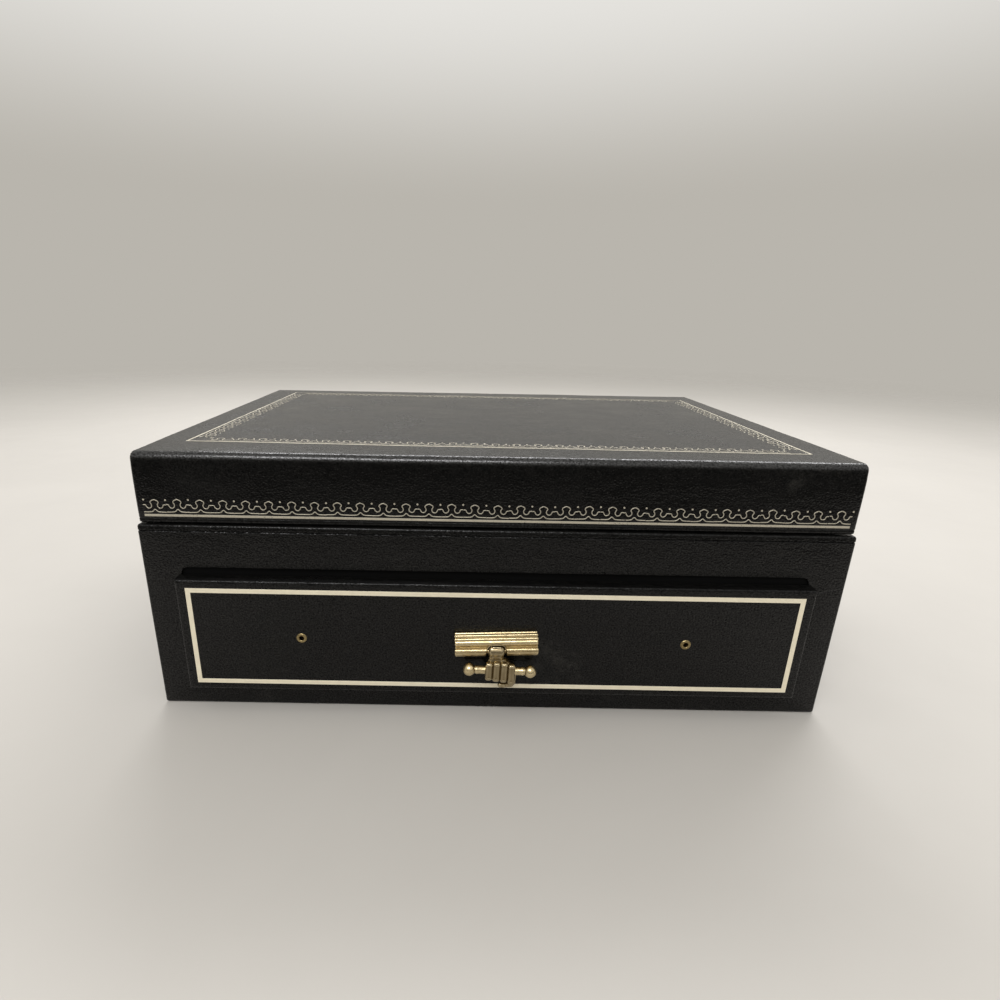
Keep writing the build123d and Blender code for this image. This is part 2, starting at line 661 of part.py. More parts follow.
# Reeded half-round bar with an arched notch for the wrist
with BuildPart() as pull_bar:
    with BuildSketch(across(pull_plane, -BAR_LENGTH / 2)):
        Circle(BAR_RADIUS - REED_RISE)
        with PolarLocations(
            BAR_RADIUS - REED_RADIUS,
            REED_COUNT,
            start_angle=(REED_STEP - HALF_TURN) / 2,
            angular_range=HALF_TURN - REED_STEP,
            endpoint=True,
        ):
            Circle(REED_RADIUS)
        with Locations((-BAR_RADIUS, 0)):
            Rectangle(2 * BAR_RADIUS, 4 * BAR_RADIUS, mode=Mode.SUBTRACT)
    extrude(amount=BAR_LENGTH)
    with BuildSketch(pull_plane):
        with Locations((0, -PIN_DROP)):
            Circle(NOTCH_RADIUS)
            Rectangle(2 * NOTCH_RADIUS, 2 * BAR_RADIUS, align=(Align.CENTER, Align.MAX))
    extrude(amount=2 * BAR_RADIUS, mode=Mode.SUBTRACT)
    with BuildSketch(across(pin_plane, -PULL_PIN_LENGTH / 2)):
        Circle(PULL_PIN_RADIUS + SHAFT_FIT)
    extrude(amount=PULL_PIN_LENGTH, mode=Mode.SUBTRACT)
    with BuildSketch(pull_screw_plane):
        with Locations(*pull_screw_spots):
            Circle(PULL_SCREW_RADIUS + SHAFT_FIT)
    extrude(amount=PULL_SCREW_LENGTH + SHAFT_FIT, mode=Mode.SUBTRACT)
save(pull_bar, "pull_bar")

with BuildPart() as pull_pin:
    with BuildSketch(across(pin_plane, -PULL_PIN_LENGTH / 2)):
        Circle(PULL_PIN_RADIUS)
    extrude(amount=PULL_PIN_LENGTH)
save(pull_pin, "pull_pin")

with BuildPart() as pull_screws:
    with BuildSketch(pull_screw_plane):
        with Locations(*pull_screw_spots):
            Circle(PULL_SCREW_RADIUS)
    extrude(amount=PULL_SCREW_LENGTH)
    with BuildSketch(pull_screw_plane):
        with Locations(*pull_screw_spots):
            Circle(PULL_SCREW_HEAD_RADIUS)
    extrude(amount=PULL_SCREW_HEAD, taper=RIGHT_ANGLE / 2)
save(pull_screws, "pull_screws")

# Cast hand: the eye on the pin, the wrist, the fist, four fingers and the thumb
with BuildPart() as pull_hand:
    with BuildSketch(pin_plane):
        with BuildLine():
            Polyline(
                (-WRIST_WIDTH / 2, KNUCKLE_END_RADIUS),
                (-WRIST_WIDTH / 2, 0),
                (WRIST_WIDTH / 2, 0),
                (WRIST_WIDTH / 2, KNUCKLE_END_RADIUS),
            )
            ThreePointArc(
                (WRIST_WIDTH / 2, KNUCKLE_END_RADIUS),
                (0, KNUCKLE_RADIUS),
                (-WRIST_WIDTH / 2, KNUCKLE_END_RADIUS),
            )
        make_face()
    revolve(axis=Axis(pin_middle, pin_plane.x_dir))
    with BuildSketch(hand_plane.offset(WRIST_BACK)):
        with BuildLine():
            Polyline(
                (-WRIST_WIDTH / 2, 0),
                (-WRIST_WIDTH / 2, -WRIST_LENGTH),
                (FIST_SHIFT - FIST_WIDTH / 2, FIST_TOP - FIST_CORNER_RADIUS),
                (FIST_SHIFT + FIST_WIDTH / 2, FIST_TOP - FIST_CORNER_RADIUS),
                (WRIST_WIDTH / 2, -WRIST_LENGTH),
                (WRIST_WIDTH / 2, 0),
                close=True,
            )
        make_face()
    extrude(amount=WRIST_FRONT - WRIST_BACK)
    with BuildSketch(hand_plane.offset(FIST_BACK)):
        with Locations((FIST_SHIFT, FIST_TOP)):
            RectangleRounded(
                FIST_WIDTH,
                FIST_TOP - FIST_BOTTOM,
                FIST_CORNER_RADIUS,
                align=(Align.CENTER, Align.MAX),
            )
    extrude(amount=FIST_FRONT - FIST_BACK)
    for finger, (top, tip) in enumerate(zip(FINGER_TOPS, FINGER_TIPS)):
        finger_x = FIST_SHIFT + (finger - (len(FINGER_TOPS) - 1) / 2) * FINGER_PITCH
        for height in (top - FINGER_RADIUS, tip + FINGER_RADIUS):
            with Locations(hand_plane.from_local_coords(Vector(finger_x, height, FIST_FRONT))):
                Sphere(FINGER_RADIUS)
        finger_start = hand_plane.from_local_coords(Vector(finger_x, tip + FINGER_RADIUS, FIST_FRONT))
        with BuildSketch(Plane(origin=finger_start, z_dir=hand_plane.y_dir)):
            Circle(FINGER_RADIUS)
        extrude(amount=top - tip - 2 * FINGER_RADIUS)
    thumb_ends = (FIST_SHIFT + THUMB_START, FIST_SHIFT + THUMB_END)
    for thumb_x in thumb_ends:
        with Locations(hand_plane.from_local_coords(Vector(thumb_x, THUMB_DROP, THUMB_OUT))):
            Sphere(THUMB_RADIUS)
    thumb_start = hand_plane.from_local_coords(Vector(thumb_ends[0], THUMB_DROP, THUMB_OUT))
    with BuildSketch(Plane(origin=thumb_start, z_dir=hand_plane.x_dir)):
        Circle(THUMB_RADIUS)
    extrude(amount=thumb_ends[1] - thumb_ends[0])
    with BuildSketch(hand_plane.offset(FIST_BACK)):
        with Locations((FIST_SHIFT + THUMB_END - THUMB_RADIUS, THUMB_DROP)):
            Rectangle(
                2 * THUMB_RADIUS,
                FIST_BOTTOM - THUMB_DROP + FIST_CORNER_RADIUS,
                align=(Align.CENTER, Align.MIN),
            )
    extrude(amount=THUMB_OUT - FIST_BACK)
    with BuildSketch(across(pin_plane, -PULL_PIN_LENGTH / 2)):
        Circle(PULL_PIN_RADIUS + SHAFT_FIT)
    extrude(amount=PULL_PIN_LENGTH, mode=Mode.SUBTRACT)
    with BuildSketch(across(rod_plane, -ROD_LENGTH / 2)):
        Circle(ROD_RADIUS + SHAFT_FIT)
    extrude(amount=ROD_LENGTH, mode=Mode.SUBTRACT)
save(pull_hand, "pull_hand")

with BuildPart() as pull_rod:
    with BuildSketch(across(rod_plane, ROD_BALL_RADIUS - ROD_LENGTH / 2)):
        Circle(ROD_RADIUS)
    extrude(amount=ROD_LENGTH - 2 * ROD_BALL_RADIUS)
    for _, side in SIDES:
        ball = Vector(side * (ROD_LENGTH / 2 - ROD_BALL_RADIUS), 0, 0)
        with Locations(rod_plane.from_local_coords(ball)):
            Sphere(ROD_BALL_RADIUS)
save(pull_rod, "pull_rod")

print(f"lid hinge axis y {HINGE_Y:.3f} z {HINGE_Z:.3f}")
print(f"pull pin middle {tuple(round(v, 3) for v in pin_middle)} tilt {PULL_TILT}")
print(f"inner x {INNER_X:.2f} y {INNER_Y:.2f} well floor {WELL_FLOOR:.2f} lid ceiling {LID_CEILING:.2f}")
print(f"tray inner x {TRAY_INNER_X:.2f} front {TRAY_INNER_FRONT_Y:.2f} back {TRAY_INNER_BACK_Y:.2f}")
print(f"tray floor {TRAY_FLOOR:.2f} top {TRAY_TOP:.2f} lid pad base {LID_PAD_TOP - LID_PAD_THICKNESS:.2f}")
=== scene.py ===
"""Looks for a black leather dresser box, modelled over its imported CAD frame.

The front faces -Y, up is +Z, and the origin is the middle of the resting face. Sizes are written in
millimetres and turned into metres where a piece is made.
"""

from __future__ import annotations

import logging
import math
import random
from collections.abc import Callable, Iterator, Sequence
from contextlib import contextmanager
from dataclasses import dataclass, field
from enum import Enum

import bmesh
import bpy
from mathutils import Matrix, Vector


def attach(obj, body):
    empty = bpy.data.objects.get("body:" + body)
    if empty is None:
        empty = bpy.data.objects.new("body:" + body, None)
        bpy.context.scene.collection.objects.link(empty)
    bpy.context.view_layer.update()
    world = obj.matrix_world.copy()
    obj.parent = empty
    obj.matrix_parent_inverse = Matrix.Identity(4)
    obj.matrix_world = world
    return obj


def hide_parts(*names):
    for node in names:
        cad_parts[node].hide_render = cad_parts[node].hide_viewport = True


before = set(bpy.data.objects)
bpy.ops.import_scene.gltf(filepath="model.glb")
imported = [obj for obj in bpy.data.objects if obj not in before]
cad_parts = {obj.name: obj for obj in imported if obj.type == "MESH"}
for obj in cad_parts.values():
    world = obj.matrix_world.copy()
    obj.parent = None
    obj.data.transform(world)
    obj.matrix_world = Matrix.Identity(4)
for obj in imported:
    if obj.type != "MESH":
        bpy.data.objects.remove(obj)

LOG = logging.getLogger("dresser_box")
MM = 0.001
SLACK = 0.02
LEATHER = 0.9
CLOTH_STEPS = 20
CLOTH_PRESSURE = 3.0
CLOTH_MASS = 0.05

Triple = tuple[float, float, float]
Pair = tuple[float, float]
Socket = bpy.types.NodeSocket
Piece = bpy.types.Object
Material = bpy.types.Material
PointTest = Callable[[Vector], bool]
PairTest = Callable[[Vector, Vector], bool]


class Axis(Enum):
    """A direction of the shared frame."""

    X = (1.0, 0.0, 0.0)
    Y = (0.0, 1.0, 0.0)
    Z = (0.0, 0.0, 1.0)


class Facing(Enum):
    """The way that a lined tray opens."""

    UP = 1
    DOWN = -1


class Part(Enum):
    """What edit mode selects."""

    POINT = "VERT"
    EDGE = "EDGE"
    FACE = "FACE"


def take(piece: Piece) -> None:
    """Leave edit mode, deselect everything and make one piece active."""
    if bpy.context.object and bpy.context.object.mode != "OBJECT":
        bpy.ops.object.mode_set(mode="OBJECT")
    bpy.ops.object.select_all(action="DESELECT")
    piece.select_set(True)
    bpy.context.view_layer.objects.active = piece


@contextmanager
def editing(piece: Piece, part: Part = Part.FACE) -> Iterator[None]:
    """Open a piece in edit mode with nothing selected, and close it again.

    Args:
        piece: The piece to open.
        part: What is selected while it is open.
    """
    take(piece)
    bpy.ops.object.mode_set(mode="EDIT")
    bpy.ops.mesh.select_mode(type=part.value)
    bpy.ops.mesh.select_all(action="DESELECT")
    yield
    bpy.ops.object.mode_set(mode="OBJECT")


def pick(piece: Piece, part: Part, test: Callable[..., bool]) -> None:
    """Select only the points, edges or faces that pass a test, in edit mode.

    Args:
        piece: The piece that is open.
        part: What is tested.
        test: Takes a point, an edge's two ends, or a face's middle and its normal, in millimetres.
    """
    bpy.ops.mesh.select_mode(type=part.value)
    bpy.ops.mesh.select_all(action="DESELECT")
    mesh = bmesh.from_edit_mesh(piece.data)
    if part is Part.FACE:
        found = [face for face in mesh.faces if test(face.calc_center_median() / MM, face.normal)]
    elif part is Part.EDGE:
        found = [edge for edge in mesh.edges if test(edge.verts[0].co / MM, edge.verts[1].co / MM)]
    else:
        found = [point for point in mesh.verts if test(point.co / MM)]
    for item in found:
        item.select_set(True)
    if part is Part.POINT:
        mesh.select_flush(True)
    bmesh.update_edit_mesh(piece.data)


def near(value: float, target: float) -> bool:
    """Tell whether a length is at a target, in millimetres."""
    return abs(value - target) < SLACK


def upright(a: Vector, b: Vector) -> bool:
    """Tell whether an edge rises from one end to the other."""
    return not near(a.z, b.z)


def on_end(a: Vector, b: Vector) -> bool:
    """Tell whether an edge of a rod along X is on one of its ends."""
    return near(a.x, b.x)


def level_at(*heights: float) -> PairTest:
    """Give a test for the level edges at some heights."""
    return lambda a, b: any(near(a.z, height) and near(b.z, height) for height in heights)


def settle(piece: Piece) -> Piece:
    """Put a piece's place, turn and scale into its mesh."""
    take(piece)
    bpy.ops.object.transform_apply(location=True, rotation=True, scale=True)
    return piece


def place(piece: Piece, matrix: Matrix) -> Piece:
    """Move a piece that was modelled about the origin to its place."""
    piece.matrix_world = matrix
    return settle(piece)


def facing_matrix(origin: Triple, right: Triple, up: Triple, degrees: float = 0.0) -> Matrix:
    """Give the matrix that lays a flat drawing on a face.

    Args:
        origin: Where the drawing's origin goes, in millimetres.
        right: The way of the drawing's X axis.
        up: The way of its Y axis.
        degrees: How far it is turned, anticlockwise as it is seen.

    Returns:
        The matrix, in metres. The drawing's Z axis points out of the face.
    """
    out = Vector(right).cross(Vector(up))
    turn = Matrix((right, up, out)).transposed().to_4x4()
    return Matrix.Translation(Vector(origin) * MM) @ turn @ Matrix.Rotation(math.radians(degrees), 4, "Z")


def front_matrix(origin: Triple, degrees: float = 0.0) -> Matrix:
    """Give the matrix that lays a drawing on a face that looks to the front."""
    return facing_matrix(origin, (1, 0, 0), (0, 0, 1), degrees)


def add(name: str, kind: str, **settings: object) -> Piece:
    """Add a mesh primitive.

    Args:
        name: The new piece's name.
        kind: The primitive's kind, as its operator calls it.
        settings: The operator's own settings.

    Returns:
        The new piece.
    """
    bpy.ops.object.select_all(action="DESELECT")
    getattr(bpy.ops.mesh, f"primitive_{kind}_add")(**settings)
    piece = bpy.context.object
    piece.name = name
    return piece


def add_box(name: str, low: Triple, high: Triple) -> Piece:
    """Start a piece from a cube stretched between two corners.

    Args:
        name: The piece's name.
        low: Its lowest corner in millimetres.
        high: Its highest corner in millimetres.

    Returns:
        The new piece.
    """
    piece = add(name, "cube", size=1, location=[(a + b) / 2 * MM for a, b in zip(low, high)])
    piece.scale = [(b - a) * MM for a, b in zip(low, high)]
    return settle(piece)


def add_rod(name: str, radius: float, length: float, sides: int) -> Piece:
    """Start a piece from a cylinder that lies along X, about the origin."""
    upended = (0, math.pi / 2, 0)
    return settle(add(name, "cylinder", vertices=sides, radius=radius * MM, depth=length * MM, rotation=upended))


def add_finger(name: str, start: Triple, end: Triple, radius: float, end_radius: float) -> Piece:
    """Start a round-ended bar from a ball whose upper half is drawn out.

    Args:
        name: The piece's name.
        start: The middle of the bar's first round end, in millimetres.
        end: The middle of its other round end.
        radius: Its radius at the start.
        end_radius: Its radius at the end.

    Returns:
        The new piece.
    """
    reach = Vector(end) - Vector(start)
    piece = add(name, "uv_sphere", segments=24, ring_count=14, radius=radius * MM)
    reshape(piece, lambda point: point.z > -0.001, (end_radius / radius,) * 3, move=(0, 0, reach.length))
    turn = reach.to_track_quat("Z", "Y").to_matrix().to_4x4()
    return place(piece, Matrix.Translation(Vector(start) * MM) @ turn)


def round_off(piece: Piece, radius: float, segments: int, test: PairTest = lambda a, b: True) -> None:
    """Round a piece's edges.

    Args:
        piece: The piece.
        radius: The rounding's radius in millimetres.
        segments: How many steps it takes.
        test: Takes an edge's two ends and tells whether it is rounded. Without it, all are.
    """
    with editing(piece):
        pick(piece, Part.EDGE, test)
        bpy.ops.mesh.bevel(offset=radius * MM, segments=segments, profile=0.5, affect="EDGES")


def reshape(
    piece: Piece, test: PointTest, scale: Triple, centre: Triple = (0, 0, 0), move: Triple = (0, 0, 0)
) -> None:
    """Scale the points that pass a test, then move them.

    Args:
        piece: The piece.
        test: Takes a point in millimetres.
        scale: How much larger they become along each axis.
        centre: What they are scaled about, in millimetres.
        move: How far they move, in millimetres.
    """
    with editing(piece):
        pick(piece, Part.POINT, test)
        bpy.ops.transform.resize(value=scale, center_override=tuple(Vector(centre) * MM))
        bpy.ops.transform.translate(value=tuple(Vector(move) * MM))


def raise_points(piece: Piece, height: float, test: PointTest) -> None:
    """Push points out of their skin, or into it.

    Args:
        piece: The skin.
        height: How far they go in millimetres, less than nothing for into it.
        test: Takes a point in millimetres and tells whether it goes.
    """
    with editing(piece):
        pick(piece, Part.POINT, test)
        bpy.ops.transform.shrink_fatten(value=height * MM)


def open_up(piece: Piece, test: PairTest) -> None:
    """Delete a piece's faces over its gaps.

    Args:
        piece: The piece.
        test: Takes a face's middle in millimetres and its normal, and tells whether it goes.
    """
    with editing(piece):
        pick(piece, Part.FACE, test)
        bpy.ops.mesh.delete(type="FACE")


def cut_across(piece: Piece, axis: Axis, places: Sequence[float]) -> None:
    """Cut a piece through at planes square to an axis, to give it edges there.

    Args:
        piece: The piece to cut.
        axis: The planes' normal.
        places: Where they cross the axis, in millimetres.
    """
    normal = Vector(axis.value)
    with editing(piece):
        for spot in places:
            bpy.ops.mesh.select_all(action="SELECT")
            bpy.ops.mesh.bisect(plane_co=normal * spot * MM, plane_no=normal)


def spaced(low: float, high: float, pitch: float, fixed: Sequence[float] = (), clear: float = 1.5) -> list[float]:
    """List the places of cuts: the fixed ones, then evenly spaced ones between two ends.

    Args:
        low: The lower end, which isn't cut.
        high: The upper end, which isn't cut.
        pitch: About how far apart the even cuts are.
        fixed: The cuts that have a place of their own.
        clear: How far the even cuts keep from those.

    Returns:
        The places in millimetres.
    """
    count = max(1, round((high - low) / pitch))
    even = [low + (high - low) * index / count for index in range(1, count)]
    return [*fixed, *(spot for spot in even if all(abs(spot - cut) > clear for cut in fixed))]


def fold(middle: float, half: float = 0.35) -> list[float]:
    """List the three cuts that a fine groove or ridge takes."""
    return [middle - half, middle, middle + half]


def finish_with(piece: Piece, kind: str, **settings: object) -> None:
    """Add a modifier to a piece, set it and apply it.

    Args:
        piece: The piece.
        kind: The modifier's type.
        settings: The modifier's own settings.
    """
    take(piece)
    bpy.ops.object.modifier_add(type=kind)
    modifier = piece.modifiers[-1]
    for key, value in settings.items():
        setattr(modifier, key, value)
    bpy.ops.object.modifier_apply(modifier=modifier.name)


def combine(piece: Piece, tool: Piece, operation: str = "DIFFERENCE") -> None:
    """Cut a piece with a tool, or keep only what they share, and throw the tool away.

    Args:
        piece: The piece.
        tool: The tool, in its place.
        operation: The boolean modifier's operation.
    """
    finish_with(piece, "BOOLEAN", operation=operation, object=tool, solver="EXACT")
    bpy.data.objects.remove(tool)


def smooth(piece: Piece, degrees: float = 40.0) -> None:
    """Shade a piece smooth, with a sharp edge wherever it turns by more than an angle."""
    take(piece)
    bpy.ops.object.shade_smooth_by_angle(angle=math.radians(degrees))


def join(name: str, pieces: Sequence[Piece]) -> Piece:
    """Join pieces into the first of them and name it.

    Args:
        name: The joined piece's name.
        pieces: What is joined.

    Returns:
        The first piece, with all the others in it.
    """
    take(pieces[0])
    for piece in pieces:
        piece.select_set(True)
    bpy.ops.object.join()
    pieces[0].name = name
    return pieces[0]


def copies_of(piece: Piece, count: int) -> Iterator[Piece]:
    """Give copies of a piece, each with its own mesh, and the piece itself as the last.

    Args:
        piece: What is copied. It stays as it is until its turn comes.
        count: How many there are, with the piece itself.

    Yields:
        Each of them.
    """
    for _ in range(count - 1):
        take(piece)
        bpy.ops.object.duplicate(linked=False)
        yield bpy.context.object
    yield piece


def weld(piece: Piece, voxel: float, passes: int = 0) -> None:
    """Melt joined forms into one skin, as a casting or a stuffed cover is.

    Args:
        piece: The joined forms.
        voxel: The skin's grid in millimetres.
        passes: How many times the skin is smoothed.
    """
    finish_with(piece, "REMESH", mode="VOXEL", voxel_size=voxel * MM, use_smooth_shade=True)
    if passes:
        finish_with(piece, "SMOOTH", factor=0.5, iterations=passes)


def roughen(piece: Piece, wave: float, depth: float) -> None:
    """Push a skin inwards a little in soft, irregular dents.

    Args:
        piece: The skin.
        wave: The dents' size in millimetres.
        depth: The deepest dent in millimetres.
    """
    clouds = bpy.data.textures.new(f"{piece.name}_dents", "CLOUDS")
    clouds.noise_scale = wave * MM
    clouds.noise_depth = 2
    finish_with(piece, "DISPLACE", texture=clouds, texture_coords="LOCAL", strength=depth * MM, mid_level=1.0)
    bpy.data.textures.remove(clouds)


def make_hide(skin: Piece, wave: float, depth: float) -> None:
    """Dent a skin softly and give it the leather's thickness, inwards."""
    roughen(skin, wave, depth)
    finish_with(skin, "SOLIDIFY", thickness=LEATHER * MM, offset=-1.0, use_even_offset=True)


def puff(piece: Piece, pinned: PointTest, limit: float) -> None:
    """Swell a cover with a short cloth simulation.

    Args:
        piece: The cover, already remeshed.
        pinned: Takes a point in millimetres and tells whether it stays where it is.
        limit: How far a point may move, in millimetres.
    """
    starts = [point.co.copy() for point in piece.data.vertices]
    held = [point.index for point in piece.data.vertices if pinned(point.co / MM)]
    group = piece.vertex_groups.new(name="held")
    group.add(held, 1.0, "REPLACE")
    take(piece)
    bpy.ops.object.modifier_add(type="CLOTH")
    cloth = piece.modifiers[-1]
    cloth.settings.use_pressure = True
    cloth.settings.uniform_pressure_force = CLOTH_PRESSURE
    cloth.settings.effector_weights.gravity = 0
    cloth.settings.vertex_group_mass = group.name
    cloth.settings.mass = CLOTH_MASS
    scene = bpy.context.scene
    for step in range(1, CLOTH_STEPS + 1):
        scene.frame_set(step)
    bpy.ops.object.modifier_apply(modifier=cloth.name)
    scene.frame_set(1)
    for point, start in zip(piece.data.vertices, starts):
        move = point.co - start
        if move.length > limit * MM:
            point.co = start + move.normalized() * limit * MM
    piece.vertex_groups.clear()


def spin_section(name: str, section: Sequence[Pair], turns: int) -> Piece:
    """Spin a closed or axis-to-axis section about Z.

    Args:
        name: The new piece's name.
        section: The section's points, as (radius, height) in millimetres.
        turns: How many steps the spin takes.

    Returns:
        The new piece, about the origin.
    """
    piece = add(name, "plane", size=1)
    with editing(piece, Part.POINT):
        bpy.ops.mesh.select_all(action="SELECT")
        bpy.ops.mesh.merge(type="CENTER")
        bpy.ops.transform.translate(value=(section[0][0] * MM, 0, section[0][1] * MM))
        for before, after in zip(section, section[1:]):
            move = ((after[0] - before[0]) * MM, 0, (after[1] - before[1]) * MM)
            bpy.ops.mesh.extrude_region_move(TRANSFORM_OT_translate={"value": move})
        bpy.ops.mesh.select_all(action="SELECT")
        bpy.ops.mesh.spin(steps=turns, angle=2 * math.pi, center=(0, 0, 0), axis=(0, 0, 1))
    with editing(piece):
        bpy.ops.mesh.select_all(action="SELECT")
        bpy.ops.mesh.remove_doubles(threshold=0.005 * MM)
        bpy.ops.mesh.normals_make_consistent(inside=False)
    return piece


class Mixer:
    """Lays out the nodes of one procedural material, or of the world."""

    FIRST_COLOUR, SECOND_COLOUR, MIXED_COLOUR = 6, 7, 2

    def __init__(self, owner: Material | bpy.types.World) -> None:
        """Open the nodes of a material or a world, and the coordinates that its patterns follow."""
        owner.use_nodes = True
        self.owner = owner
        self.nodes, self.links = owner.node_tree.nodes, owner.node_tree.links
        self.coordinates = self.node("TexCoord").outputs
        self.place = self.coordinates["Object"]

    def wire(self, source: object, target: Socket) -> None:
        """Link a socket to an input, or write a plain value there.

        Args:
            source: The socket or the value.
            target: The input.
        """
        if isinstance(source, Socket):
            self.links.new(source, target)
        else:
            target.default_value = source

    def node(self, kind: str, takes: dict[str | int, object] | None = None, **settings: object) -> bpy.types.Node:
        """Add a node.

        Args:
            kind: Its type, without the part that all types share.
            takes: What its inputs take, each a socket or a plain value.
            settings: Its own settings.

        Returns:
            The node.
        """
        node = self.nodes.new(f"ShaderNode{kind}")
        for key, value in settings.items():
            setattr(node, key, value)
        for key, value in (takes or {}).items():
            self.wire(value, node.inputs[key])
        return node

    def stretch(self, scale: Triple | None, turn: Triple = (0, 0, 0)) -> Socket:
        """Give the object coordinates, stretched and turned where a scale is given.

        Args:
            scale: How much they are stretched along each axis, or none to leave them.
            turn: How far they are turned about each axis, in radians.

        Returns:
            The coordinates.
        """
        if scale is None:
            return self.place
        return self.node("Mapping", {"Vector": self.place, "Scale": scale, "Rotation": turn}).outputs["Vector"]

    def noise(
        self, scale: float, detail: float, roughness: float = 0.5, swirl: float = 0.0, stretch: Triple | None = None
    ) -> Socket:
        """Add a noise pattern.

        Args:
            scale: Its waves per metre.
            detail: Its octaves.
            roughness: How strong the finer octaves are.
            swirl: How far it is distorted.
            stretch: How its coordinates are stretched.

        Returns:
            The pattern's value.
        """
        takes = {"Vector": self.stretch(stretch), "Scale": scale, "Detail": detail, "Roughness": roughness}
        return self.node("TexNoise", {**takes, "Distortion": swirl}).outputs["Fac"]

    def cells(self, scale: float, stretch: Triple) -> Socket:
        """Add a pattern of rounded cells, for grain."""
        takes = {"Vector": self.stretch(stretch), "Scale": scale, "Smoothness": 0.6}
        return self.node("TexVoronoi", takes, feature="SMOOTH_F1").outputs["Distance"]

    def ramp(
        self, source: Socket, low: float, high: float, start: float = 0.0, end: float = 1.0, shape: str = "LINEAR"
    ) -> Socket:
        """Map a value from one range to another and clamp it.

        Args:
            source: The value.
            low: Where its range starts.
            high: Where its range ends.
            start: What the low end becomes.
            end: What the high end becomes.
            shape: How the value runs between them.

        Returns:
            The mapped value.
        """
        takes = {"Value": source, "From Min": low, "From Max": high, "To Min": start, "To Max": end}
        return self.node("MapRange", takes, interpolation_type=shape).outputs["Result"]

    def sum(self, first: object, second: object, operation: str = "ADD") -> Socket:
        """Combine two values with a math operation."""
        return self.node("Math", {0: first, 1: second}, operation=operation).outputs["Value"]

    def times(self, first: object, second: object) -> Socket:
        """Multiply two values."""
        return self.sum(first, second, "MULTIPLY")

    def blend(self, amount: Socket, first: object, second: object) -> Socket:
        """Mix two colours by an amount.

        Args:
            amount: How much of the second there is.
            first: The first colour, as a socket or three numbers.
            second: The second colour, the same way.

        Returns:
            The mixed colour.
        """
        first, second = (value if isinstance(value, Socket) else (*value, 1.0) for value in (first, second))
        takes = {"Factor": amount, self.FIRST_COLOUR: first, self.SECOND_COLOUR: second}
        return self.node("Mix", takes, data_type="RGBA").outputs[self.MIXED_COLOUR]

    def length(self, vector: Socket) -> Socket:
        """Give a vector's length."""
        return self.node("VectorMath", {0: vector}, operation="LENGTH").outputs["Value"]

    def patch(self, middle: Triple, size: Triple, slope: float = 0.0) -> Socket:
        """Give a soft patch of the surface, one at its middle and nothing outside its size.

        Args:
            middle: Its middle in millimetres.
            size: Its half sizes in millimetres.
            slope: How far it slopes down to the right, in degrees, as the front is seen.

        Returns:
            The patch's strength.
        """
        turn = (0, math.radians(slope), 0)
        takes = {"Vector": self.place, "Location": Vector(middle) * MM, "Rotation": turn, "Scale": Vector(size) * MM}
        return self.ramp(self.length(self.node("Mapping", takes, vector_type="TEXTURE").outputs["Vector"]), 1.0, 0.3)

    def bump(self, height: Socket, depth: float, strength: float = 1.0, under: Socket | None = None) -> Socket:
        """Add a bump, on top of another one where that is given.

        Args:
            height: The bump's height.
            depth: What a height of one stands for, in millimetres.
            strength: How far it tilts the surface.
            under: The bump below it.

        Returns:
            The tilted normal.
        """
        takes = {"Height": height, "Distance": depth * MM, "Strength": strength}
        return self.node("Bump", takes if under is None else {**takes, "Normal": under}).outputs["Normal"]

    def hollows(self) -> Socket:
        """Give how far a dense mesh's surface bulges, about 0.5 where it is flat."""
        return self.node("NewGeometry").outputs["Pointiness"]

    def done(self, **inputs: object) -> Material:
        """Wire or set the shader's sockets, and hand the material over.

        Args:
            inputs: What each socket takes, with underscores for the spaces in its name.

        Returns:
            The finished material.
        """
        for key, value in inputs.items():
            self.wire(value, self.nodes["Principled BSDF"].inputs[key.replace("_", " ")])
        return self.owner


def faded(colour: Triple, share: float) -> list[float]:
    """Give a colour darkened to a share of itself."""
    return [part * share for part in colour]


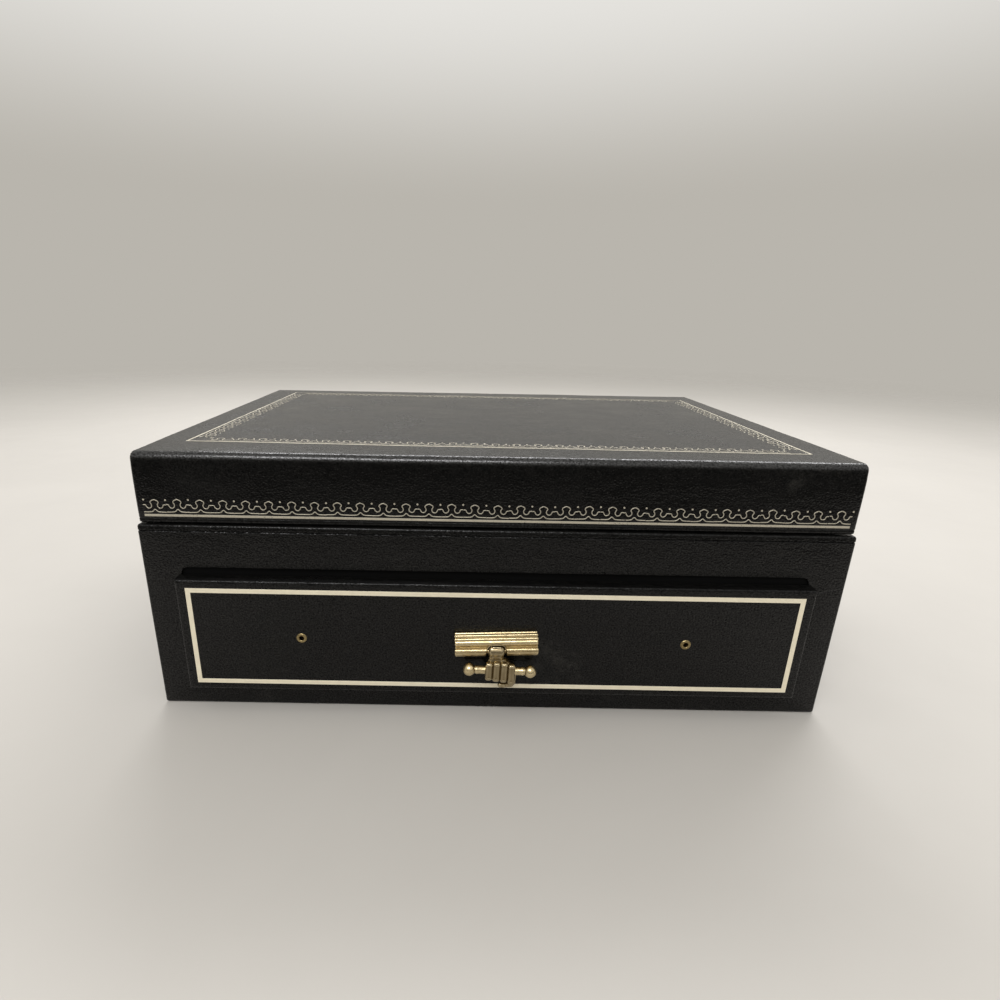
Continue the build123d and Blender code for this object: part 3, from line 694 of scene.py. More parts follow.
@dataclass(frozen=True)
class Leather:
    """Black grained leather, polished by handling and greyed where it is scuffed."""

    name: str = "black_grained_leather"
    dye: Triple = (0.0012, 0.0012, 0.0012)
    worn: Triple = (0.030, 0.028, 0.025)
    grain: float = 1100.0
    grain_depth: float = 0.12
    pore_depth: float = 0.05
    wave_depth: float = 0.9
    draw_depth: float = 0.22
    crease_depth: float = -0.35
    streaks: float = 0.12
    flecks: Pair = (0.04, 0.86)
    refraction: float = 1.335
    bloom: float = 0.012
    bloom_tint: Triple = (0.9, 0.88, 0.83)
    shine: Pair = (0.17, 0.3)
    edge_middle: Triple = (0.0, -96.0, 113.3)
    edge_size: Triple = (420.0, 2.7, 2.6)
    edge_shine: float = 0.26
    edge_refraction: float = 1.6

    # Each mark is (its middle, its half sizes), in millimetres on the closed box
    scuffs: tuple[tuple[Triple, Triple], ...] = (
        ((67.0, -50.4, 114.2), (9.0, 2.4, 3.0)), ((-69.0, -49.0, 114.2), (4.5, 3.4, 3.0)),
        ((-106.0, 36.0, 114.2), (5.0, 3.0, 3.0)), ((124.0, -98.0, 75.3), (0.9, 2.0, 3.2)),
        ((31.0, 20.0, 114.2), (3.0, 6.0, 3.0)), ((-40.0, -98.0, 72.0), (5.0, 2.0, 1.0)),
    )
    # Each crease is (its middle, its half sizes, its slope in degrees)
    creases: tuple[tuple[Triple, Triple, float], ...] = (
        ((138.5, -98.0, 60.4), (7.5, 2.0, 0.35), -12.0), ((125.0, -98.0, 69.6), (7.5, 2.0, 0.3), 8.5),
    )

    def make(self) -> Material:
        """Build the material."""
        mix = Mixer(bpy.data.materials.new(self.name))
        worn = self.wear(mix)
        streaks = mix.ramp(mix.noise(640, 4, 0.65, 0.3, (0.5, 1.0, 1.0)), 0.42, 0.72, 0.0, self.streaks)
        polish = mix.ramp(mix.noise(34, 5, 0.6), 0.3, 0.7, *self.shine)
        waves = mix.bump(mix.noise(26, 3, 0.5, 0.7, (1.0, 2.4, 2.8)), self.wave_depth, 0.4)
        folds = mix.bump(mix.noise(90, 5, 0.6, 0.6, (1.0, 2.2, 3.0)), self.draw_depth, 0.5, waves)
        for middle, size, slope in self.creases:
            folds = mix.bump(mix.patch(middle, size, slope), self.crease_depth, 1.0, folds)
        grain = mix.bump(mix.cells(self.grain, (1.0, 1.25, 1.25)), self.grain_depth, 0.8, folds)
        specks = mix.noise(1500, 3, 0.75)
        return mix.done(
            Base_Color=mix.blend(mix.sum(worn, streaks), self.dye, self.worn),
            Roughness=mix.sum(polish, mix.times(worn, 0.2)),
            Normal=mix.bump(mix.noise(2600, 3, 0.6), self.pore_depth, 0.7, grain),
            IOR=self.refraction,
            Specular_IOR_Level=mix.ramp(specks, 0.32, 0.68, *self.flecks),
            Coat_Weight=mix.times(mix.patch(self.edge_middle, self.edge_size), mix.ramp(specks, 0.42, 0.58, 0.25)),
            Coat_Roughness=self.edge_shine,
            Coat_IOR=self.edge_refraction,
            Sheen_Weight=self.bloom,
            Sheen_Roughness=0.5,
            Sheen_Tint=(*self.bloom_tint, 1.0),
        )

    def wear(self, mix: Mixer) -> Socket:
        """Give how far the dye has gone: scattered rubbing, and the scuffs that have a place.

        Args:
            mix: The material's mixer.

        Returns:
            The wear, nothing where the dye is whole.
        """
        fine = mix.ramp(mix.noise(420, 4, 0.6), 0.35, 0.75)
        worn = mix.times(mix.ramp(mix.noise(26, 8, 0.62, 0.4), 0.62, 0.76), fine)
        scratches = mix.ramp(mix.noise(260, 5, 0.7, 1.0, (0.35, 1.6, 1.6)), 0.46, 0.62)
        for middle, size in self.scuffs:
            worn = mix.sum(worn, mix.times(mix.patch(middle, size), scratches))
        return worn


@dataclass(frozen=True)
class GoldLeaf:
    """Pale gold leaf, rubbed through to the leather in specks."""

    name: str
    leaf: Triple
    rubbed: float = 0.36
    metal: float = 0.35
    leather: Triple = (0.02, 0.017, 0.013)

    def make(self) -> Material:
        """Build the material."""
        mix = Mixer(bpy.data.materials.new(self.name))
        specks = mix.sum(mix.noise(1500, 4, 0.7), mix.times(mix.noise(70, 3), 0.3))
        cover = mix.ramp(specks, self.rubbed, self.rubbed + 0.12)
        tone = mix.blend(mix.noise(300, 2), faded(self.leaf, 0.86), self.leaf)
        return mix.done(
            Base_Color=mix.blend(cover, self.leather, tone),
            Metallic=mix.times(cover, self.metal),
            Roughness=mix.ramp(mix.noise(900, 3, 0.6), 0.3, 0.7, 0.34, 0.5),
            Normal=mix.bump(mix.noise(1100, 3, 0.6), 0.03, 0.6),
        )


@dataclass(frozen=True)
class Brass:
    """Cast or turned brass, dull in its hollows and rubbed bright on what stands out; on the hand this is also painted
    reflection and painted highlight.
    """

    name: str
    bright: Triple = (0.80, 0.66, 0.40)
    dull: Triple = (0.20, 0.14, 0.055)
    hollow: Pair = (0.470, 0.512)
    roughness: Pair = (0.24, 0.44)
    grit: float = 0.01

    def make(self) -> Material:
        """Build the material."""
        mix = Mixer(bpy.data.materials.new(self.name))
        stain = mix.ramp(mix.noise(420, 5, 0.6, 0.3), 0.36, 0.6, 0.72, 1.0)
        # Pointiness sets what is dull and what is bright: real patina and rubbing, and on the hand also painted dark
        # reflection on flat faces and painted highlight on edges.
        rubbed_and_highlight = mix.times(mix.ramp(mix.hollows(), *self.hollow), stain)
        tarnish = mix.ramp(mix.noise(160, 4, 0.6), 0.35, 0.7)
        metal = mix.blend(tarnish, self.bright, faded(self.bright, 0.82))
        return mix.done(
            Base_Color=mix.blend(rubbed_and_highlight, self.dull, metal),
            Metallic=1.0,
            Roughness=mix.ramp(rubbed_and_highlight, 0.0, 1.0, self.roughness[1], self.roughness[0]),
            Normal=mix.bump(mix.noise(900, 5, 0.65), self.grit, 0.8),
        )


@dataclass(frozen=True)
class Velvet:
    """Short-pile velvet, brushed this way and that."""

    name: str
    pile: Triple = (0.16, 0.016, 0.022)
    brushed: Triple = (0.27, 0.032, 0.04)
    bloom_tint: Triple = (0.9, 0.45, 0.45)

    def make(self) -> Material:
        """Build the material."""
        mix = Mixer(bpy.data.materials.new(self.name))
        strokes = mix.ramp(mix.noise(38, 4, 0.5, 1.2, (1.0, 2.0, 1.4)), 0.35, 0.68)
        tufts = mix.noise(2400, 2)
        return mix.done(
            Base_Color=mix.blend(mix.times(strokes, tufts), self.pile, self.brushed),
            Roughness=0.9,
            Normal=mix.bump(tufts, 0.10, 0.9, mix.bump(strokes, 0.12, 0.4)),
            Sheen_Weight=0.55,
            Sheen_Roughness=0.4,
            Sheen_Tint=(*self.bloom_tint, 1.0),
            Specular_IOR_Level=0.2,
        )


@dataclass(frozen=True)
class Felt:
    """Pressed fibres, for the base cover and the lid's wadding."""

    name: str
    fibre: Triple
    light: Triple

    def make(self) -> Material:
        """Build the material."""
        mix = Mixer(bpy.data.materials.new(self.name))
        mat = mix.noise(700, 6, 0.75, 0.8)
        amount = mix.ramp(mix.times(mat, mix.noise(90, 4, 0.6)), 0.12, 0.42)
        return mix.done(
            Base_Color=mix.blend(amount, self.fibre, self.light),
            Roughness=0.95,
            Normal=mix.bump(mat, 0.25, 0.8),
            Sheen_Weight=0.25,
            Specular_IOR_Level=0.2,
        )


@dataclass(frozen=True)
class Wood:
    """Planed softwood, its grain along one axis."""

    name: str
    grain: Axis
    early: Triple = (0.50, 0.33, 0.18)
    late: Triple = (0.27, 0.15, 0.07)
    gloss: float = 0.5
    ring_stretch: float = 2.2
    ring_lean: Triple = (0.06, 0.09, 0.05)

    def make(self) -> Material:
        """Build the material."""
        mix = Mixer(bpy.data.materials.new(self.name))
        along = tuple(0.045 if part else 1.0 for part in self.grain.value)
        vector = mix.stretch(tuple(self.ring_stretch * part for part in along), self.ring_lean)
        takes = {"Vector": vector, "Scale": 42, "Distortion": 5.5, "Detail": 3, "Detail Scale": 1.4}
        rings = mix.node("TexWave", takes, wave_type="RINGS", rings_direction=self.grain.name).outputs["Fac"]
        streaks = mix.noise(900, 5, 0.6, 0.2, along)
        tone = mix.sum(mix.ramp(rings, 0.2, 0.95, 0.0, 0.6), mix.times(streaks, 0.5))
        return mix.done(
            Base_Color=mix.blend(mix.ramp(tone, 0.15, 0.85), self.early, self.late),
            Roughness=mix.ramp(streaks, 0.3, 0.7, 0.5, 0.68),
            Normal=mix.bump(streaks, 0.08, 0.6),
            Specular_IOR_Level=self.gloss,
        )


@dataclass(frozen=True)
class Steel:
    """Zinc-plated steel, faintly brushed."""

    name: str
    plate: Triple = (0.55, 0.55, 0.57)

    def make(self) -> Material:
        """Build the material."""
        mix = Mixer(bpy.data.materials.new(self.name))
        lines = mix.noise(1800, 3, 0.6, 0.0, (1.0, 0.1, 1.0))
        return mix.done(
            Base_Color=mix.blend(mix.noise(300, 4, 0.6), faded(self.plate, 0.8), self.plate),
            Metallic=1.0,
            Roughness=mix.ramp(lines, 0.3, 0.7, 0.28, 0.42),
            Normal=mix.bump(lines, 0.01, 0.5),
        )


BAND_LEAF = GoldLeaf("gold_leaf_tooling", (0.64, 0.59, 0.48), rubbed=0.44, metal=0.6)
FRAME_LEAF = GoldLeaf("gold_leaf_frame", (0.99, 0.91, 0.71))
BAR_BRASS = Brass("cast_brass_patina", grit=0.018)
# The hand's narrow range dulls its flat faces and brightens its knuckles and edges: painted dark reflection and
# painted highlight as well as wear.
HAND_BRASS = Brass("cast_brass_hand", (0.86, 0.74, 0.50), (0.15, 0.105, 0.045), (0.488, 0.54), (0.14, 0.26))
TURNED_BRASS = Brass("turned_brass", (0.36, 0.28, 0.14), hollow=(0.40, 0.49), roughness=(0.27, 0.4))
BLACK_FELT = Felt("black_base_felt", (0.010, 0.010, 0.010), (0.032, 0.031, 0.030))
COTTON = Felt("cotton_wadding", (0.52, 0.47, 0.37), (0.78, 0.74, 0.64))
BACK_WOOD = Wood("board_grain_back", Axis.Y, early=(0.54, 0.37, 0.21))
# The front board, seen only in the gap above the slab, is near black and barely glossy: painted shade for that gap.
BOARD_PAINTED_SHADE = Wood("black_board_painted_shade", Axis.X, (0.004, 0.004, 0.004), (0.002, 0.002, 0.002), gloss=0.1)


@dataclass
class Finishes:
    """Every finish of the box, made once."""

    leather: Material = field(default_factory=Leather().make)
    gold_band: Material = field(default_factory=BAND_LEAF.make)
    gold_frame: Material = field(default_factory=FRAME_LEAF.make)
    cast_brass: Material = field(default_factory=BAR_BRASS.make)
    hand_brass: Material = field(default_factory=HAND_BRASS.make)
    turned_brass: Material = field(default_factory=TURNED_BRASS.make)
    velvet: Material = field(default_factory=Velvet("red_velvet").make)
    felt: Material = field(default_factory=BLACK_FELT.make)
    wadding: Material = field(default_factory=COTTON.make)
    wood_x: Material = field(default_factory=Wood("board_grain_across", Axis.X).make)
    wood_y: Material = field(default_factory=BACK_WOOD.make)
    shade_board: Material = field(default_factory=BOARD_PAINTED_SHADE.make)
    steel: Material = field(default_factory=Steel("plated_steel").make)


def fit_out(piece: Piece, body: str, material: Material, slot: str, *replaced: str) -> None:
    """Give a finished piece its material, its body and the nodes that it stands for.

    Args:
        piece: The finished piece.
        body: The body that it moves with.
        material: Its finish.
        slot: The name of a slot for that finish; not used.
        replaced: The CAD nodes that it stands for.
    """
    piece.data.materials.clear()
    piece.data.materials.append(material)
    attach(piece, body)
    if replaced:
        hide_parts(*replaced)
    LOG.info("%s: %d faces on %s", piece.name, len(piece.data.polygons), body)


def dress_nodes(material: Material, *names: str) -> None:
    """Give CAD nodes that stay as they are a finish of their own.

    Args:
        material: The finish.
        names: The nodes' names.
    """
    for name in names:
        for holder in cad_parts[name].material_slots:
            holder.material = material
    LOG.info("%s on %d nodes", material.name, len(names))


@dataclass
class Carcass:
    """The boards, hinges and screws, which keep their CAD shapes."""

    finishes: Finishes
    across: tuple[str, ...] = (
        "case_back_board", "case_bottom_board", "compartment_shelf", "lid_front_board",
        "lid_back_board", "lid_top_board", "drawer_front_board", "drawer_inner_front", "drawer_back",
        "drawer_bottom",
    )
    back: tuple[str, ...] = (
        "case_left_board", "case_right_board", "lid_left_board", "lid_right_board", "drawer_left_side",
        "drawer_right_side", "drawer_runner_left", "drawer_runner_right", "shelf_bearer_left",
        "shelf_bearer_right",
    )
    brass: tuple[str, ...] = (
        "hinge_left_case_leaf", "hinge_right_case_leaf", "hinge_left_lid_leaf", "hinge_right_lid_leaf",
        "hinge_left_pin", "hinge_right_pin", "hinge_case_screws", "hinge_lid_screws",
    )

    def build(self) -> None:
        """Dress the boards and the fittings."""
        dress_nodes(self.finishes.wood_x, *self.across)
        dress_nodes(self.finishes.wood_y, *self.back)
        # The front board is made black as painted shade in the gap above the slab.
        dress_nodes(self.finishes.shade_board, "case_front_board")
        dress_nodes(self.finishes.turned_brass, *self.brass)


@dataclass
class Hinge:
    """Where the two hinges' leaves are let into the rims."""

    offset: float = 85.0
    length: float = 28.0
    inner_y: float = 90.6
    leaf: float = 1.2

    def sides(self) -> list[float]:
        """List the pockets' ends along X."""
        half = self.length / 2
        return [side * self.offset + end for side in (-1, 1) for end in (-half, half)]

    def holds(self, spot: Vector) -> bool:
        """Tell whether a spot is over a pocket."""
        return abs(abs(spot.x) - self.offset) < self.length / 2 and spot.y > self.inner_y


@dataclass
class LinedTray:
    """A card tray covered in velvet, open at one side, with soft inner corners."""

    finishes: Finishes
    name: str
    low: Triple
    high: Triple
    body: str
    replaced: str
    facing: Facing = Facing.UP
    wall: float = 1.2
    corner: float = 2.4
    floor_curve: float = 1.8
    lip: float = 0.35

    def build(self) -> None:
        """Model the tray and dress it in velvet."""
        tray = add_box(self.name, self.low, self.high)
        way = self.facing.value
        open_z = self.high[2] if way > 0 else self.low[2]
        floor_z = self.low[2] + self.wall if way > 0 else self.high[2] - self.wall
        with editing(tray):
            pick(tray, Part.FACE, lambda _, normal: normal.z * way > 0.9)
            bpy.ops.mesh.inset(thickness=self.wall * MM)
            bpy.ops.mesh.extrude_region_move(TRANSFORM_OT_translate={"value": (0, 0, (floor_z - open_z) * MM)})
        floor, inside = level_at(floor_z), self.inside
        round_off(
            tray, self.corner, 5,
            lambda a, b: inside(a) and inside(b) and near(a.x, b.x) and near(a.y, b.y) and upright(a, b),
        )
        round_off(tray, self.floor_curve, 4, lambda a, b: inside(a) and inside(b) and floor(a, b))
        round_off(tray, self.lip, 3, level_at(open_z))
        smooth(tray, 50)
        fit_out(tray, self.body, self.finishes.velvet, "lining_velvet", self.replaced)

    def inside(self, spot: Vector) -> bool:
        """Tell whether a spot is on the tray's inner walls or floor."""
        reach = self.wall - SLACK
        return (
            abs(spot.x) < self.high[0] - reach and self.low[1] + reach < spot.y < self.high[1] - reach
        )


@dataclass
class CaseCover:
    """The case's leather and the felt under it."""

    finishes: Finishes
    half_x: float = 145.0
    half_y: float = 98.0
    height: float = 84.8
    corner: float = 1.25
    edge: float = 1.15
    groove_z: float = 82.1
    groove_depth: float = 0.4
    wall: float = 8.9
    turn_under: float = 12.9
    opening_x: float = 129.4
    opening_z: Pair = (15.0, 66.4)
    opening_corner: float = 2.8
    felt_gap: float = 0.1
    felt_corner: float = 1.5
    felt_edge: float = 0.25
    hinge: Hinge = field(default_factory=Hinge)

    def build(self) -> None:
        """Model the leather and the felt, and dress them."""
        fit_out(self.skin(), "case", self.finishes.leather, "black_leather", "case_leather")
        felt = self.felt()
        fit_out(felt, "case", self.finishes.felt, "base_felt", "base_cover")

    def skin(self) -> Piece:
        """Model the leather as one skin with the drawer's opening and the hinges' pockets."""
        x, y = self.half_x, self.half_y
        skin = add_box("case_leather_skin", (-x, -y, 0), (x, y, self.height))
        round_off(skin, self.corner, 5, upright)
        round_off(skin, self.edge, 4, level_at(0, self.height))
        inner_x, inner_y = x - self.wall, y - self.wall
        under_x, under_y = x - self.turn_under, y - self.turn_under
        pocket_z = self.height - self.hinge.leaf
        x_cuts = [-inner_x, inner_x, -under_x, under_x, *self.hinge.sides()]
        y_cuts = [-inner_y, inner_y, -under_y, under_y, self.hinge.inner_y]
        cut_across(skin, Axis.X, spaced(-x + 4, x - 4, 6, x_cuts))
        cut_across(skin, Axis.Y, spaced(-y + 4, y - 4, 6, y_cuts))
        cut_across(skin, Axis.Z, [pocket_z, *fold(self.groove_z), *spaced(0, self.height - 3, 5.5)])

        def is_gap(spot: Vector, normal: Vector) -> bool:
            """Tell whether a face lies over a gap in the leather."""
            rim = normal.z > 0.99 and abs(spot.x) < inner_x and abs(spot.y) < inner_y
            base = normal.z < -0.99 and abs(spot.x) < under_x and abs(spot.y) < under_y
            return rim or base or (self.hinge.holds(spot) and spot.z > pocket_z)

        open_up(skin, is_gap)
        raise_points(skin, -self.groove_depth, lambda point: near(point.z, self.groove_z))
        make_hide(skin, 28, 0.12)
        combine(skin, self.opening())
        smooth(skin)
        return skin

    def opening(self) -> Piece:
        """Model the cutter for the drawer's opening, with rounded top corners."""
        low, high = self.opening_z
        front, back = -self.half_y - 3, -self.half_y + 3
        cutter = add_box("opening", (-self.opening_x, front, low), (self.opening_x, back, high))
        top = level_at(high)
        round_off(cutter, self.opening_corner, 6, lambda a, b: top(a, b) and near(a.x, b.x))
        return cutter

    def felt(self) -> Piece:
        """Model the felt as a thin sheet with soft, slightly uneven edges."""
        inset = self.turn_under + self.felt_gap
        x, y = self.half_x - inset, self.half_y - inset
        felt = add_box("base_felt_sheet", (-x, -y, self.felt_gap), (x, y, LEATHER))
        round_off(felt, self.felt_corner, 3, upright)
        round_off(felt, self.felt_edge, 2, level_at(self.felt_gap))
        cut_across(felt, Axis.X, spaced(-x + 3, x - 3, 8))
        cut_across(felt, Axis.Y, spaced(-y + 3, y - 3, 8))
        roughen(felt, 12, 0.08)
        smooth(felt)
        return felt


@dataclass
class Well:
    """The lined well under the lid, with its dividers and ring rolls."""

    finishes: Finishes
    lining: Pair = (136.1, 89.1)
    lining_z: Pair = (64.4, 83.8)
    inner_x: float = 134.9
    inner_y: float = 87.9
    floor: float = 65.6
    divider_top: float = 80.8
    thickness: float = 3.0
    long_y: float = 18.5
    cross_x: float = 45.0
    roll_count: int = 7
    roll_gap: float = 0.3
    roll_centre_z: float = 70.6
    roll_edge: float = 1.6
    swell: float = 0.45
    seed: int = 4

    def build(self) -> None:
        """Model the well's pieces and dress them."""
        (x, y), (low_z, high_z) = self.lining, self.lining_z
        LinedTray(self.finishes, "well_velvet", (-x, -y, low_z), (x, y, high_z), "case", "well_lining").build()
        long_high = (self.inner_x, self.long_y + self.thickness, self.divider_top)
        self.divider("divider_long", (-self.inner_x, self.long_y, self.floor), long_high)
        for side, start in (("left", -self.cross_x - self.thickness), ("right", self.cross_x)):
            high = (start + self.thickness, self.long_y, self.divider_top)
            self.divider(f"divider_cross_{side}", (start, -self.inner_y, self.floor), high)
        self.ring_rolls()

    def divider(self, node: str, low: Triple, high: Triple) -> None:
        """Model a velvet-covered divider with a rounded top and rolled ends.

        Args:
            node: The CAD node that it stands for.
            low: Its lowest corner in millimetres.
            high: Its highest corner in millimetres.
        """
        piece = add_box(f"{node}_velvet", low, high)
        run, across = (0, 1) if high[0] - low[0] > high[1] - low[1] else (1, 0)
        top = level_at(high[2])
        round_off(piece, self.thickness * 0.46, 5, lambda a, b: top(a, b) and near(a[across], b[across]))
        round_off(piece, 0.2, 2, level_at(low[2]))
        cut_across(piece, (Axis.X, Axis.Y)[run], spaced(low[run], high[run], 5))
        cut_across(piece, Axis.Z, spaced(low[2], high[2] - 2, 4))
        roughen(piece, 9, 0.14)
        smooth(piece, 50)
        fit_out(piece, "case", self.finishes.velvet, "lining_velvet", node)

    def ring_rolls(self) -> None:
        """Model one stuffed roll, swell it, and lay seven of them side by side."""
        start_x, end_x = -self.inner_x + self.roll_gap, -self.cross_x - self.thickness - self.roll_gap
        start_y, end_y = -self.inner_y + self.roll_gap, self.long_y - self.roll_gap
        pitch = (end_y - start_y) / self.roll_count
        foot = self.floor - self.roll_centre_z + 0.2
        roll = add_rod("ring_rolls", pitch / 2 - 0.35, end_x - start_x - 0.8, 36)
        reshape(roll, lambda point: point.z < foot, (1, 1, 0), (0, 0, foot))
        round_off(roll, self.roll_edge, 3, on_end)
        weld(roll, 1.3, 2)
        puff(roll, lambda point: point.z < foot + 0.8, self.swell)
        finish_with(roll, "SUBSURF", levels=1, render_levels=1)
        jitter = random.Random(self.seed)
        rolls = []
        for index, copy in enumerate(copies_of(roll, self.roll_count)):
            copy.scale = (jitter.uniform(0.988, 1.0), 1.0, jitter.uniform(0.985, 1.0))
            drift = jitter.uniform(-0.2, 0.2)
            spot = ((start_x + end_x) / 2 + drift, start_y + (index + 0.5) * pitch, self.roll_centre_z)
            copy.location = Vector(spot) * MM
            rolls.append(settle(copy))
        cushion = join("ring_rolls", rolls)
        smooth(cushion, 60)
        fit_out(cushion, "case", self.finishes.velvet, "lining_velvet", "ring_roll_cushion")


@dataclass
class Lid:
    """The lid's leather, its lining, its padded inner panel and the wadding under its top."""

    finishes: Finishes
    leather: Piece = field(init=False)
    half_x: float = 144.5
    half_y: float = 96.8
    bottom: float = 85.1
    top: float = 114.35
    front_radius: float = 2.9
    side_radius: float = 1.4
    lower_radius: float = 0.8
    shoulder_z: float = 103.0
    shoulder_depth: float = 0.6
    ridge_z: float = 111.4
    ridge_half: float = 0.3
    ridge_height: float = 0.22
    bead_z: float = 87.1
    bead_depth: float = 0.2
    inner: Pair = (136.1, 89.1)
    lining_z: Pair = (86.1, 106.0)
    wadding_inset: float = 4.3
    wadding_under: Pair = (1.45, 0.35)
    pad_half: Pair = (128.9, 81.9)
    pad_z: Pair = (100.8, 104.8)
    pad_corner: float = 4.0
    pad_edge: float = 1.8
    swell: float = 0.9
    tuft_pitch: Pair = (52.0, 55.0)
    tuft_depth: float = 2.3
    tuft_reach: float = 7.0
    button_radius: float = 2.6
    hinge: Hinge = field(default_factory=Hinge)

    def build(self) -> None:
        """Model the lid's pieces and dress them."""
        self.leather = self.skin()
        fit_out(self.leather, "lid", self.finishes.leather, "black_leather", "lid_leather")
        (x, y), (low_z, high_z) = self.inner, self.lining_z
        corners = (-x, -y, low_z), (x, y, high_z)
        LinedTray(self.finishes, "lid_velvet", *corners, "lid", "lid_lining", Facing.DOWN).build()
        self.wadding()
        self.panel()

    def skin(self) -> Piece:
        """Model the leather drawn over the lid, softly rounded, with a bead round its lower edge."""
        x, y = self.half_x, self.half_y
        skin = add_box("lid_leather_skin", (-x, -y, self.bottom), (x, y, self.top))
        top = level_at(self.top)
        round_off(skin, self.front_radius, 12, lambda a, b: top(a, b) and near(a.y, b.y))
        round_off(
            skin, self.side_radius, 5,
            lambda a, b: near(abs(a.x), x) and near(a.x, b.x) and max(a.z, b.z) > self.bottom + 0.1,
        )
        round_off(skin, self.lower_radius, 3, level_at(self.bottom))
        (inner_x, inner_y), pocket_z = self.inner, self.bottom + self.hinge.leaf
        cut_across(skin, Axis.X, spaced(-x + 4, x - 4, 5, [-inner_x, inner_x, *self.hinge.sides()]))
        cut_across(skin, Axis.Y, spaced(-y + 7, y - 7, 5, [-inner_y, inner_y, self.hinge.inner_y]))
        wall_cuts = spaced(self.bead_z + 0.4, self.top - self.front_radius, 4)
        ridge_cuts = fold(self.ridge_z, self.ridge_half)
        cut_across(skin, Axis.Z, [pocket_z, *fold(self.bead_z), *wall_cuts, *ridge_cuts])

        def is_gap(spot: Vector, normal: Vector) -> bool:
            """Tell whether a face lies over a gap in the leather."""
            rim = normal.z < -0.99 and abs(spot.x) < inner_x and abs(spot.y) < inner_y
            return rim or (self.hinge.holds(spot) and spot.z < pocket_z)

        def on_ridge(point: Vector) -> bool:
            """Tell whether a point is on the ridge along the front."""
            return near(point.z, self.ridge_z) and point.y < 0 and abs(point.x) < x - 1.5

        open_up(skin, is_gap)
        raise_points(skin, -self.bead_depth, lambda point: near(point.z, self.bead_z))
        raise_points(skin, self.ridge_height, on_ridge)
        self.ease_front(skin)
        make_hide(skin, 24, 0.26)
        smooth(skin)
        return skin

    def ease_front(self, skin: Piece) -> None:
        """Lean the upper part of the front back a little, as leather drawn over a board does.

        Args:
            skin: The lid's leather, before it has its thickness.
        """
        reach = self.top - self.shoulder_z
        for point in skin.data.vertices:
            above = point.co.z / MM - self.shoulder_z
            if above > 0 and point.co.y < 0:
                ahead = min(1.0, -point.co.y / MM / self.half_y)
                point.co.y += self.shoulder_depth * MM * (above / reach) ** 2 * ahead

    def wadding(self) -> None:
        """Model the cotton wadding between the lid's top board and its leather."""
        x, y = self.half_x - self.wadding_inset, self.half_y - self.wadding_inset
        low, high = (self.top - LEATHER - under for under in self.wadding_under)
        wadding = add_box("lid_wadding", (-x, -y, low), (x, y, high))
        round_off(wadding, 0.6, 3, level_at(high))
        cut_across(wadding, Axis.X, spaced(-x, x, 7))
        cut_across(wadding, Axis.Y, spaced(-y, y, 7))
        roughen(wadding, 10, 0.2)
        smooth(wadding, 60)
        fit_out(wadding, "lid", self.finishes.wadding, "padding", "lid_padding")

    def panel(self) -> None:
        """Model the panel inside the lid: a stuffed cover drawn in by buttons."""
        (x, y), (low, high) = self.pad_half, self.pad_z
        panel = add_box("lid_velvet_panel", (-x, -y, low), (x, y, high))
        round_off(panel, self.pad_corner, 5, upright)
        round_off(panel, self.pad_edge, 4, level_at(low))
        weld(panel, 2.0, 1)
        spots = self.tufts()

        def to_button(point: Vector) -> float:
            """Give the distance from a point to the nearest button, across the panel."""
            return min(math.hypot(point.x - spot_x, point.y - spot_y) for spot_x, spot_y in spots)

        for point in panel.data.vertices:
            spot = point.co / MM
            if spot.z < high - 0.6:
                pull = math.exp(-((to_button(spot) / self.tuft_reach) ** 2)) * (high - spot.z) / (high - low)
                point.co.z += self.tuft_depth * MM * pull
        puff(panel, lambda point: point.z > high - 0.5 or to_button(point) < self.button_radius, self.swell)
        finish_with(panel, "SMOOTH", factor=0.5, iterations=2)
        smooth(panel, 60)
        fit_out(panel, "lid", self.finishes.velvet, "lining_velvet", "lid_inner_pad")
        self.buttons(spots, low + 1.5)

    def tufts(self) -> list[Pair]:
        """List the buttons' places on the panel, in staggered rows."""
        rows = ((-1, (-2, -1, 0, 1, 2)), (0, (-1.5, -0.5, 0.5, 1.5)), (1, (-2, -1, 0, 1, 2)))
        return [(column * self.tuft_pitch[0], row * self.tuft_pitch[1]) for row, columns in rows for column in columns]

    def buttons(self, spots: Sequence[Pair], height: float) -> None:
        """Model a covered button and copy it to each tuft.

        Args:
            spots: The tufts' places on the panel, in millimetres.
            height: The height of the buttons' middles.
        """
        name = "lid_panel_buttons"
        button = add(name, "uv_sphere", segments=20, ring_count=10, radius=self.button_radius * MM)
        reshape(button, lambda point: point.z > 0.01, (0.92, 0.92, 0.3))
        reshape(button, lambda point: point.z < 0.01, (1, 1, 0.45))
        copies = []
        for spot, copy in zip(spots, copies_of(button, len(spots))):
            copy.location = Vector((*spot, height)) * MM
            copies.append(settle(copy))
        buttons = join(name, copies)
        smooth(buttons, 60)
        fit_out(buttons, "lid", self.finishes.velvet, "lining_velvet")


